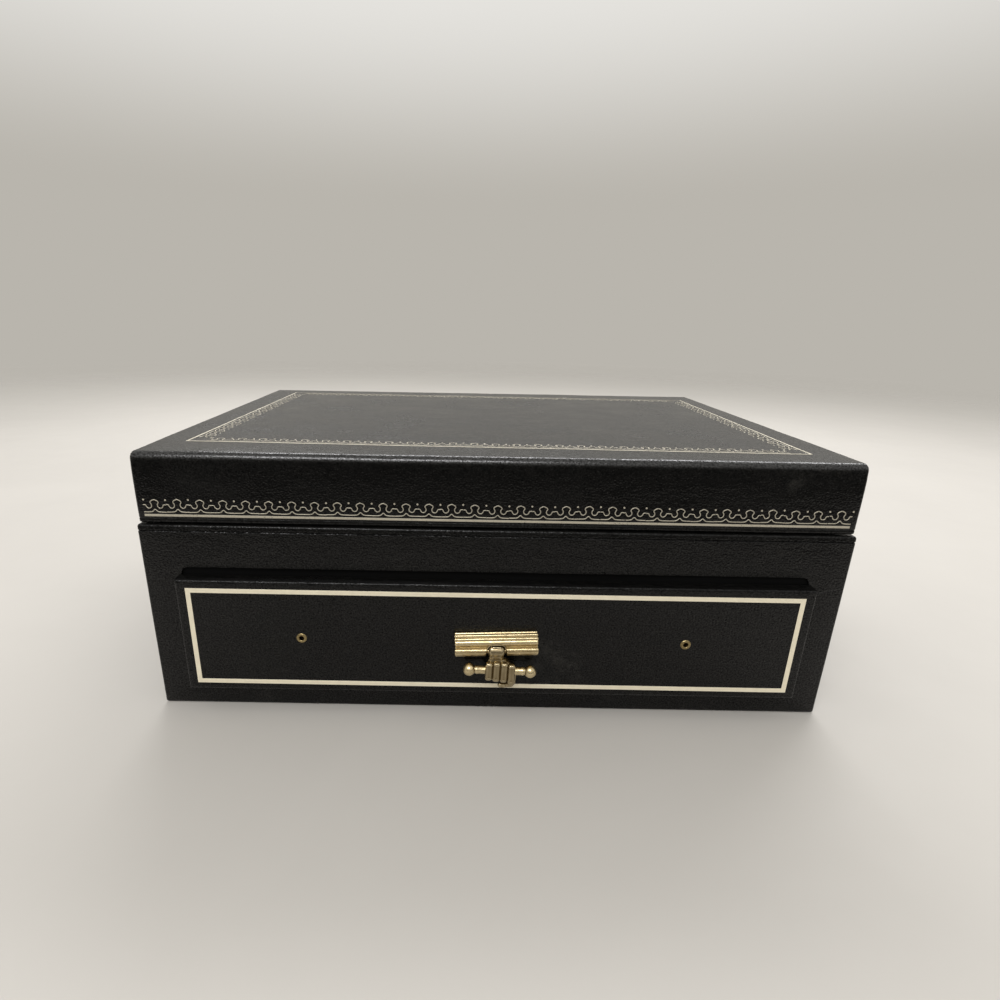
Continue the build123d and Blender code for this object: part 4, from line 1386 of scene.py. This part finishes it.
@dataclass
class DrawerFront:
    """The drawer's lining, and the slab on its front: the leather and the two tubular rivets."""

    finishes: Finishes
    leather: Piece = field(init=False)
    tray_low: Triple = (-120.4, -93.3, 19.3)
    tray_high: Triple = (120.4, 81.1, 58.8)
    half_x: float = 130.0
    z: Pair = (12.0, 63.4)
    y: Pair = (-104.0, -98.3)
    edge: float = 0.8
    rim: float = 1.9
    rivet_x: float = 80.0
    rivet_z: float = 37.7
    flange_radius: float = 2.2
    tube_radius: float = 1.5
    bore_radius: float = 1.0
    tube_depth: float = 4.0

    def build(self) -> None:
        """Model the lining, the slab's leather and the rivets, and dress them."""
        tray = LinedTray(self.finishes, "drawer_velvet", self.tray_low, self.tray_high, "drawer", "drawer_lining")
        tray.build()
        self.leather = self.skin()
        fit_out(self.leather, "drawer", self.finishes.leather, "black_leather", "drawer_front_leather")
        self.rivets()

    def skin(self) -> Piece:
        """Model the leather drawn over the slab, with square holes hidden under the rivets' flanges."""
        (front, back), (low, high) = self.y, self.z
        skin = add_box("drawer_front_skin", (-self.half_x, front, low), (self.half_x, back, high))
        round_off(skin, self.edge, 4, lambda a, b: near(a.y, front) and near(b.y, front))
        hole = self.bore_radius + 0.3
        rim_x, rim_z = self.half_x - self.rim, (low + self.rim, high - self.rim)
        hole_x = [side * self.rivet_x + end for side in (-1, 1) for end in (-hole, hole)]
        hole_z = [self.rivet_z - hole, self.rivet_z + hole]
        cut_across(skin, Axis.X, spaced(-rim_x, rim_x, 5, [*hole_x, -rim_x, rim_x], 1.0))
        cut_across(skin, Axis.Z, spaced(*rim_z, 4, [*hole_z, *rim_z], 0.8))

        def is_gap(spot: Vector, normal: Vector) -> bool:
            """Tell whether a face is on the back or under a rivet."""
            under_rivet = abs(abs(spot.x) - self.rivet_x) < hole and abs(spot.z - self.rivet_z) < hole
            return normal.y > 0.9 or (under_rivet and normal.y < -0.9)

        open_up(skin, is_gap)
        make_hide(skin, 22, 0.1)
        smooth(skin)
        return skin

    def rivets(self) -> None:
        """Spin one rivet from its section and copy it to the other side."""
        outer, tube, bore, deep = self.flange_radius, self.tube_radius, self.bore_radius, -self.tube_depth
        section = (
            (bore, deep), (bore, 0.05), (bore + 0.12, 0.3), (bore + 0.32, 0.4), (outer - 0.5, 0.4),
            (outer - 0.15, 0.28), (outer, 0.0), (tube, -0.02), (tube, deep), (bore, deep),
        )
        name = "drawer_rivets_turned"
        copies = zip((-1, 1), copies_of(spin_section(name, section, 40), 2))
        spots = [
            place(copy, front_matrix((side * self.rivet_x, self.y[0], self.rivet_z))) for side, copy in copies
        ]
        rivets = join(name, spots)
        smooth(rivets, 45)
        fit_out(rivets, "drawer", self.finishes.turned_brass, "hinge_brass", "drawer_rivets")


@dataclass
class Tooling:
    """The gold tooling: the stamped band, the lid's border and the slab's frame."""

    finishes: Finishes
    lid: Lid
    front: DrawerFront
    pitch: float = 9.1
    line: float = 0.42
    foil: float = 0.07
    lift: float = 0.035
    rule_z: Pair = (-0.65, 0.3)
    seed: int = 11
    band_base: float = 88.6
    band_half: float = 141.4
    side_half: float = 93.6
    border_half: Pair = (130.7, 78.0)
    border_inset: float = 7.6
    border_drop: float = 0.6
    border_middle: Pair = (1.2, 0.4)
    border_turn: float = -1.1
    border_line: float = 0.72
    frame_half: float = 125.9
    frame_z: Pair = (15.1, 59.9)
    frame_width: float = 2.0

    # The stamp's two lines, drawn about the middle of a hump, from its left saddle to its right one
    meander: tuple[Pair, ...] = (
        (-4.55, 4.3), (-3.95, 4.35), (-3.5, 4.2), (-3.3, 3.5), (-2.8, 2.9), (-2.15, 2.8), (-1.5, 3.1),
        (-1.1, 3.85), (-1.2, 4.6), (-1.7, 5.2), (-1.5, 5.8), (-0.8, 6.2), (0.0, 6.55), (0.8, 6.2), (1.5, 5.8),
        (1.7, 5.2), (1.2, 4.6), (1.1, 3.85), (1.5, 3.1), (2.15, 2.8), (2.8, 2.9), (3.3, 3.5), (3.5, 4.2),
        (3.95, 4.35), (4.55, 4.3),
    )
    scallop: tuple[Pair, ...] = (
        (-4.55, 1.2), (-3.2, 1.2), (-1.7, 1.25), (-0.95, 1.5), (-0.4, 2.15), (0.0, 2.45), (0.4, 2.15),
        (0.95, 1.5), (1.7, 1.25), (3.2, 1.2), (4.55, 1.2),
    )
    dot_height: float = 6.35
    dot_radius: float = 0.4

    def build(self) -> None:
        """Model all the tooling, lay it on the leather and dress it."""
        x, y = self.lid.half_x, self.lid.half_y
        faces = (
            ("lid_band_front", self.band_half, (0, -y, self.band_base), (1, 0, 0)),
            ("lid_band_right", self.side_half, (x, 0, self.band_base), (0, 1, 0)),
            ("lid_band_left", self.side_half, (-x, 0, self.band_base), (0, -1, 0)),
        )
        for name, half, origin, right in faces:
            band = self.row(name, 2 * half, rule=True)
            self.lay(band, self.lid.leather, facing_matrix(origin, right, (0, 0, 1)))
            fit_out(band, "lid", self.finishes.gold_band, "gold_foil")
        self.border()
        self.slab_frame()

    def drawn_line(self, name: str, points: Sequence[Pair]) -> Piece:
        """Draw a foil line as a path with a round section, then flatten it.

        Args:
            name: The piece's name.
            points: The path's points in millimetres, on the drawing's plane.

        Returns:
            The line as a closed mesh about the drawing's origin.
        """
        bpy.ops.object.select_all(action="DESELECT")
        bpy.ops.curve.primitive_nurbs_path_add()
        path = bpy.context.object
        path.name = name
        spline = path.data.splines[0]
        spline.points.add(len(points) - len(spline.points))
        for point, (across, up) in zip(spline.points, points):
            point.co = (across * MM, up * MM, 0, 1)
        spline.order_u = 3
        spline.use_endpoint_u = True
        path.data.resolution_u = 2
        path.data.bevel_depth = self.line / 2 * MM
        path.data.bevel_resolution = 0
        path.data.use_fill_caps = True
        take(path)
        bpy.ops.object.convert(target="MESH")
        path = bpy.context.object
        path.scale = (1, 1, self.foil / self.line)
        return settle(path)

    def strip(self, name: str, start: float, end: float, low: float, high: float) -> Piece:
        """Draw a straight flat strip of foil along X, cut so that it can follow the skin.

        Args:
            name: The strip's name.
            start: Its left end in millimetres.
            end: Its right end.
            low: Its lower edge.
            high: Its upper edge.

        Returns:
            The strip, drawn flat.
        """
        thick = self.foil / 2
        strip = add_box(name, (start, low, -thick), (end, high, thick))
        round_off(strip, self.foil * 0.4, 1, level_at(thick))
        cut_across(strip, Axis.X, spaced(start, end, 3))
        return strip

    def stamp(self, name: str) -> Piece:
        """Draw one repeat of the stamped ornament."""
        hump = self.drawn_line(f"{name}_meander", self.meander)
        wave = self.drawn_line(f"{name}_scallop", self.scallop)
        return join(name, [hump, wave, self.dot(self.pitch / 2)])

    def dot(self, across: float) -> Piece:
        """Draw one of the ornament's flat dots.

        Args:
            across: Where it is along the row, in millimetres.

        Returns:
            The dot, drawn flat.
        """
        dot = add("dot", "uv_sphere", segments=10, ring_count=4, radius=self.dot_radius * MM)
        reshape(dot, lambda point: point.z < 0, (1, 1, 0.5))
        dot.scale = (1, 1, self.foil / (2 * self.dot_radius))
        dot.location = (across * MM, self.dot_height * MM, 0)
        return settle(dot)

    def row(self, name: str, length: float, rule: bool) -> Piece:
        """Draw a row of stamps about the origin, with a first dot at its left end.

        Args:
            name: The piece's name.
            length: The row's length in millimetres.
            rule: Whether the rule runs under the stamps.

        Returns:
            The row, drawn flat.
        """
        stamp = self.stamp(name)
        jitter = random.Random(self.seed + int(length))
        count = int(length // self.pitch)
        pitch, start = length / count, -length / 2
        pieces = []
        for index, copy in enumerate(copies_of(stamp, count)):
            slip = jitter.uniform(-0.09, 0.09)
            copy.location = (((index + 0.5) * pitch + start + slip) * MM, jitter.uniform(-0.06, 0.06) * MM, 0)
            copy.rotation_euler = (0, 0, math.radians(jitter.uniform(-0.6, 0.6)))
            copy.scale = (pitch / self.pitch * jitter.uniform(0.985, 1.01), jitter.uniform(0.97, 1.02), 1)
            pieces.append(settle(copy))
        pieces.append(self.dot(start + self.dot_radius))
        if rule:
            pieces.append(self.strip(f"{name}_rule", start, -start, *self.rule_z))
        return join(name, pieces)

    def lay(self, foil: Piece, skin: Piece, matrix: Matrix) -> None:
        """Move foil to its face, press it onto the skin there and keep its own thickness.

        Args:
            foil: The foil, drawn flat.
            skin: The leather under it.
            matrix: The drawing's matrix, whose Z axis points out of the skin.
        """
        place(foil, matrix)
        out = matrix.to_3x3() @ Vector((0, 0, 1))
        plane = matrix.translation.dot(out)
        reach = 5 * MM
        for point in foil.data.vertices:
            hit, spot, _, _ = skin.ray_cast(point.co + out * reach, -out, distance=3 * reach)
            if hit:
                point.co += out * (spot.dot(out) - plane + self.lift * MM)
        foil.data.update()

    def border(self) -> None:
        """Model the border on the lid's top: an outer line and the ornament inside it."""
        half_x, half_y = self.border_half
        pieces = []
        for quarter, (across, half) in enumerate(((half_y, half_x), (half_x, half_y)) * 2):
            row = self.row(f"lid_border_{quarter}", 2 * (half - self.border_inset), rule=False)
            turn = Matrix.Rotation(quarter * math.pi / 2, 4, "Z")
            pieces.append(place(row, turn @ Matrix.Translation((0, (-across + self.border_drop) * MM, 0))))
            # The back line is nearly rubbed away
            edge = self.border_line / (5 if quarter == 2 else 2)
            line = self.strip(f"lid_border_line_{quarter}", -half - edge, half + edge, -edge, edge)
            pieces.append(place(line, turn @ Matrix.Translation((0, -across * MM, 0))))
        border = join("lid_border", pieces)
        spot = (*self.border_middle, self.lid.top)
        self.lay(border, self.lid.leather, facing_matrix(spot, (1, 0, 0), (0, 1, 0), self.border_turn))
        fit_out(border, "lid", self.finishes.gold_band, "gold_foil")

    def slab_frame(self) -> None:
        """Model the plain gold frame on the slab from four mitred strips."""
        low, high = self.frame_z
        half_x, half_z, thick = self.frame_half, (high - low) / 2, self.foil / 2
        ring = add_box("slab_frame", (-half_x, -half_z, -thick), (half_x, half_z, thick))

        def is_mitre(a: Vector, b: Vector) -> bool:
            """Tell whether an edge runs across a corner of the frame."""
            return not near(a.x, b.x) and not near(a.y, b.y)

        def in_middle(spot: Vector, normal: Vector) -> bool:
            """Tell whether a face is one of the two that the frame goes round."""
            return abs(normal.z) > 0.9 and abs(spot.x) < 1 and abs(spot.y) < 1

        with editing(ring):
            pick(ring, Part.FACE, lambda _, normal: abs(normal.z) > 0.9)
            bpy.ops.mesh.inset(thickness=self.frame_width * MM)
            pick(ring, Part.FACE, in_middle)
            bpy.ops.mesh.bridge_edge_loops()
        top = level_at(thick)
        round_off(ring, self.foil * 0.35, 1, lambda a, b: top(a, b) and not is_mitre(a, b))
        cut_across(ring, Axis.X, spaced(-half_x + 3, half_x - 3, 3))
        cut_across(ring, Axis.Y, spaced(-half_z + 3, half_z - 3, 3))
        self.lay(ring, self.front.leather, front_matrix((0, self.front.y[0], (low + high) / 2)))
        fit_out(ring, "drawer", self.finishes.gold_frame, "gold_foil")


@dataclass
class HandPull:
    """The drawer's pull: a reeded bar, a cast hand and the rod in its grip."""

    finishes: Finishes
    bar_spot: Triple = (1.0, -104.0, 37.4)
    bar_tilt: float = 2.4
    bar_length: float = 34.4
    bar_radius: float = 5.62
    core_radius: float = 4.15
    reed_edge: float = 0.38
    rim_radius: float = 4.3
    collar_radius: float = 4.8
    room_half: float = 3.6
    room_top: float = 3.1
    plate: float = 0.3
    pin_drop: float = 2.0
    pin_out: float = 3.4
    cutter: float = 12.0
    voxel: float = 0.12
    hand_tilt: float = -1.4
    wrist: float = 6.7
    eye_radius: float = 2.75
    fist_x: Pair = (-4.4, 7.85)
    finger_x: tuple[float, ...] = (-2.95, 0.15, 3.25, 6.35)
    finger_tops: tuple[float, ...] = (-3.0, -2.7, -2.8, -3.5)
    finger_tips: tuple[float, ...] = (-11.4, -11.9, -12.2, -12.8)
    finger_radius: float = 1.5
    rod_spot: Triple = (1.7, -8.0, 1.8)
    rod_length: float = 30.4
    rod_radius: float = 1.7
    ball_radius: float = 2.65
    ball_half: float = 2.6

    # Each reed is (degrees up from straight out, its radius, how far it stands under the bar's radius)
    reeds: tuple[Triple, ...] = (
        (82, 0.72, 0.2), (64, 0.72, 0.0), (46, 0.74, 0.0), (30, 1.4, 0.3), (-9, 0.72, 0.0), (-32, 1.7, 0.0),
        (-60, 0.85, 0.1), (-73, 0.8, 0.15), (-87, 0.7, 0.2),
    )
    # Each round-ended form of the thumb is (its name, its start, its end, the radius at each)
    thumb: tuple[tuple[str, Triple, Triple, float, float], ...] = (
        ("thumb", (2.5, -14.9, 2.1), (6.9, -14.9, 1.3), 1.0, 1.1),
        ("thumb_tip", (2.3, -14.8, 2.15), (3.6, -14.9, 2.1), 1.08, 1.08),
        ("thumb_base", (7.6, -14.3, 0.7), (7.8, -8.6, 0.5), 1.15, 1.2),
    )

    def build(self) -> None:
        """Model the bar, the hand and the rod, and dress them."""
        bar_matrix = front_matrix(self.bar_spot, self.bar_tilt)
        bar = place(self.bar(), bar_matrix)
        fit_out(bar, "drawer", self.finishes.cast_brass, "cast_brass", "pull_bar")
        pin = bar_matrix @ (Vector((0, -self.pin_drop, self.pin_out)) * MM) / MM
        hand_matrix = front_matrix(tuple(pin), self.hand_tilt)
        hand = place(self.hand(), hand_matrix)
        fit_out(hand, "hand", self.finishes.hand_brass, "cast_brass", "pull_hand")
        rod = place(self.rod(), hand_matrix)
        fit_out(rod, "hand", self.finishes.cast_brass, "cast_brass", "pull_rod")
        dress_nodes(self.finishes.cast_brass, "pull_pin")
        dress_nodes(self.finishes.steel, "pull_screws")

    def bar(self) -> Piece:
        """Model the bar from a half-round core and its reeds, then cut the notch and weld it."""
        name, depth = "pull_bar_cast", self.cutter
        pieces = [add_rod(name, self.core_radius, self.bar_length - 0.5, 48)]
        for index, (degrees, radius, under) in enumerate(self.reeds):
            angle = math.radians(degrees)
            reed = add_rod(f"reed_{index}", radius, self.bar_length - under, 24)
            round_off(reed, self.reed_edge, 3, on_end)
            distance = self.bar_radius - under - radius
            spot = Vector((0, math.sin(angle) * distance, math.cos(angle) * distance)) * MM
            pieces.append(place(reed, Matrix.Translation(spot)))
        bar = join(name, pieces)
        weld(bar, self.voxel)
        combine(bar, add_box("below", (-40, -depth, -depth), (40, depth, 0.0)))
        combine(bar, self.arch())
        collar = add_rod("notch_collar", self.collar_radius, 2 * self.rim_radius + 1, 64)
        combine(collar, self.arch(), "INTERSECT")
        bar = join(name, [bar, collar])
        weld(bar, self.voxel)
        combine(bar, self.notch_room())
        weld(bar, self.voxel, 3)
        smooth(bar, 60)
        return bar

    def notch_room(self) -> Piece:
        """Model the cutter for the room that the wrist swings in, down to the casting's thin web."""
        top = self.room_top - self.pin_drop
        room = add_box("notch_room", (-self.room_half, -self.cutter, self.plate), (self.room_half, top, 15))
        round_off(room, 1.5, 5, lambda a, b: near(a.y, top) and near(b.y, top) and near(a.x, b.x))
        return room

    def arch(self) -> Piece:
        """Model the arched block in whose outline the smooth collar round the notch is cast."""
        depth = self.cutter
        arch = add("arch", "cylinder", vertices=48, radius=self.rim_radius * MM, depth=depth * MM)
        reshape(arch, lambda point: point.y < -0.01, (1, 0, 1), move=(0, -depth, 0))
        arch.location = Vector((0, -self.pin_drop, self.plate + depth / 2)) * MM
        return settle(arch)

    def hand(self) -> Piece:
        """Model the hand from its eye, wrist, palm, fingers and thumb, welded into one casting."""
        name, half = "pull_hand_cast", self.wrist / 2
        left, right = self.fist_x
        eye = add_rod(name, self.eye_radius, self.wrist, 36)
        round_off(eye, 1.5, 6, on_end)
        cuff = add_box("cuff", (-half + 0.15, -4.6, -1.5), (half - 0.15, 0, 2.6))
        round_off(cuff, 1.6, 6, lambda a, b: near(a.x, b.x) and near(a.z, b.z))
        brow = add_finger("cuff_brow", (-1.5, 2.3, 1.4), (1.5, 2.3, 1.4), 0.4, 0.4)
        palm = add_box("palm", (-half + 0.3, -5.5, -1.6), (half - 0.3, -2.6, 2.7))
        spread = ((right - left) / (2 * half - 0.6), 1, 1.1)
        reshape(palm, lambda point: point.y < -5, spread, (0, 0, 0.6), ((left + right) / 2, 0, 0.5))
        round_off(palm, 1.3, 5, lambda a, b: abs(a.y - b.y) > 2)
        fist = add_box("fist", (left, -12.3, -1.9), (right, -5.0, 3.5))
        round_off(fist, 1.4, 4)
        pieces = [eye, cuff, brow, palm, fist]
        for index, finger in enumerate(zip(self.finger_x, self.finger_tops, self.finger_tips)):
            pieces += self.finger(index, *finger)
        pieces += [add_finger(*form) for form in self.thumb]
        hand = join(name, pieces)
        weld(hand, self.voxel, 2)
        smooth(hand, 60)
        return hand

    def finger(self, index: int, x: float, top: float, tip: float) -> list[Piece]:
        """Model one finger, straight down the front of the rod and curled under it.

        Args:
            index: Its number from the left.
            x: Its middle line.
            top: The height of its knuckle's top.
            tip: The height of its lower end.

        Returns:
            The forms to weld.
        """
        radius = self.finger_radius
        half, ridge, end = radius * 0.99, top - 1.05, tip + radius
        back = add_box(f"finger_{index}", (x - half, tip, 2.4), (x + half, top - 0.1, 5.1))
        round_off(back, 1.12, 6)
        knuckle = add_finger(f"knuckle_{index}", (x - 0.5, ridge, 4.25), (x + 0.5, ridge, 4.25), 0.95, 0.95)
        curl = (x, end, 3.85), (x, end + 0.15, 0.4)
        return [back, knuckle, add_finger(f"tip_{index}", *curl, radius * 0.94, radius * 0.9)]

    def rod(self) -> Piece:
        """Spin the rod with its collars and ball ends, and lay it in the grip."""
        half, long = self.rod_length / 2, self.ball_half
        middle = half - long
        section = [(0.0, -half)]
        for step in range(1, 14):
            angle = math.pi * step / 16
            section.append((self.ball_radius * math.sin(angle), -middle - long * math.cos(angle)))
        neck = -middle + long * 0.86
        section += [(1.56, neck), (1.54, neck + 0.3), (1.72, neck + 0.55), (1.8, neck + 0.9), (1.7, neck + 1.25)]
        section += [(1.64, neck + 1.6), (1.68, -6.0), (self.rod_radius, 0.0)]
        section += [(radius, -height) for radius, height in reversed(section[:-1])]
        rod = spin_section("pull_rod_turned", section, 36)
        smooth(rod, 50)
        turn = Matrix.Rotation(math.pi / 2, 4, "Y")
        return place(rod, Matrix.Translation(Vector(self.rod_spot) * MM) @ turn)


@dataclass
class Studio:
    """A pale table, a pale surround, soft lights and the photograph's camera."""

    floor_tone: Triple = (0.54, 0.517, 0.485)
    wall_tone: Triple = (0.485, 0.462, 0.418)
    top_tone: Triple = (0.80, 0.785, 0.75)
    rise: Pair = (0.16, 0.44)
    room_tone: Triple = (0.12, 0.115, 0.105)
    room_rise: Pair = (-0.1, 0.34)
    room_front: Pair = (-0.5, -0.1)
    table_radius: float = 2.4
    table_fade: Pair = (0.7, 1.9)
    table_front: float = -335.0
    lens: float = 20.33
    shift: float = 0.0428
    camera_spot: Triple = (-16.2, -309.4, 166.7)
    pitch: float = 18.13
    roll: float = 1.01

    def build(self) -> None:
        """Set the view, the surround, the floor, the lights and the camera."""
        bpy.context.scene.view_settings.view_transform = "Standard"
        self.surround()
        self.floor()
        self.light("key_light", (-250, -850, 1100), (0.8, 0.3), 7.5)
        self.light("back_light", (150, 700, 860), (1.6, 0.25), 11.0)
        self.camera()

    def surround(self) -> None:
        """Make the world a pale surround, brighter towards the top and dark low down in front."""
        world = bpy.data.worlds.new("pale_surround")
        bpy.context.scene.world = world
        mix = Mixer(world)
        way = mix.node("SeparateXYZ", {"Vector": mix.coordinates["Generated"]}).outputs
        tone = mix.blend(mix.ramp(way["Z"], *self.rise, shape="SMOOTHSTEP"), self.wall_tone, self.top_tone)
        lit = mix.sum(mix.ramp(way["Y"], *self.room_front), mix.ramp(way["Z"], *self.room_rise), "MAXIMUM")
        mix.wire(mix.blend(lit, self.room_tone, tone), mix.nodes["Background"].inputs["Color"])

    def floor(self) -> None:
        """Model the table top as a wide disc that fades into the surround, cut straight at its front."""
        floor = add("table_top", "circle", vertices=96, radius=self.table_radius, fill_type="NGON")
        with editing(floor):
            bpy.ops.mesh.select_all(action="SELECT")
            front = (0, self.table_front * MM, 0)
            bpy.ops.mesh.bisect(plane_co=front, plane_no=(0, 1, 0), clear_inner=True)
        mix = Mixer(bpy.data.materials.new("pale_table"))
        marks = mix.ramp(mix.noise(6, 5, 0.6, 0.5), 0.35, 0.7)
        colour = mix.blend(marks, self.floor_tone, faded(self.floor_tone, 0.96))
        rough = mix.ramp(mix.noise(30, 4, 0.6), 0.3, 0.7, 0.5, 0.62)
        material = mix.done(Base_Color=colour, Roughness=rough, Specular_IOR_Level=0.3)
        shaders = (mix.nodes["Principled BSDF"], mix.node("BsdfTransparent"))
        near_shader, far_shader = (shader.outputs["BSDF"] for shader in shaders)
        away = mix.ramp(mix.length(mix.place), *self.table_fade)
        fade = mix.node("MixShader", {"Fac": away, 1: near_shader, 2: far_shader})
        mix.wire(fade.outputs["Shader"], mix.nodes["Material Output"].inputs["Surface"])
        floor.data.materials.append(material)

    def light(self, name: str, spot: Triple, size: Pair, power: float) -> None:
        """Add a soft rectangular light that looks at the box.

        Args:
            name: The light's name.
            spot: Its place in millimetres.
            size: Its width and height in metres.
            power: Its power in watts.
        """
        aim = Vector((0, 0, 50)) - Vector(spot)
        bpy.ops.object.light_add(type="AREA", location=Vector(spot) * MM)
        lamp = bpy.context.object
        lamp.name = name
        lamp.rotation_euler = aim.to_track_quat("-Z", "Y").to_euler()
        lamp.data.shape = "RECTANGLE"
        lamp.data.size, lamp.data.size_y = size
        lamp.data.energy = power

    def camera(self) -> None:
        """Set the camera where the photograph was taken from."""
        bpy.ops.object.camera_add()
        camera = bpy.context.object
        camera.name = "photo_camera"
        camera.data.sensor_width = 36
        camera.data.lens = self.lens
        camera.data.shift_x = self.shift
        camera.data.clip_start = 0.01
        tilt = Matrix.Rotation(math.radians(90 - self.pitch), 4, "X")
        roll = Matrix.Rotation(math.radians(self.roll), 4, "Z")
        camera.matrix_world = Matrix.Translation(Vector(self.camera_spot) * MM) @ tilt @ roll
        bpy.context.scene.camera = camera


def main() -> None:
    """Build the box's pieces in order."""
    logging.basicConfig(level=logging.INFO, format="%(name)s: %(message)s")
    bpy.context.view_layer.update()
    finishes = Finishes()
    lid, front = Lid(finishes), DrawerFront(finishes)
    box = (Carcass(finishes), CaseCover(finishes), Well(finishes), lid, front)
    for assembly in (*box, Tooling(finishes, lid, front), HandPull(finishes), Studio()):
        assembly.build()
    LOG.info("sizes written")


if __name__ == "__main__":
    main()
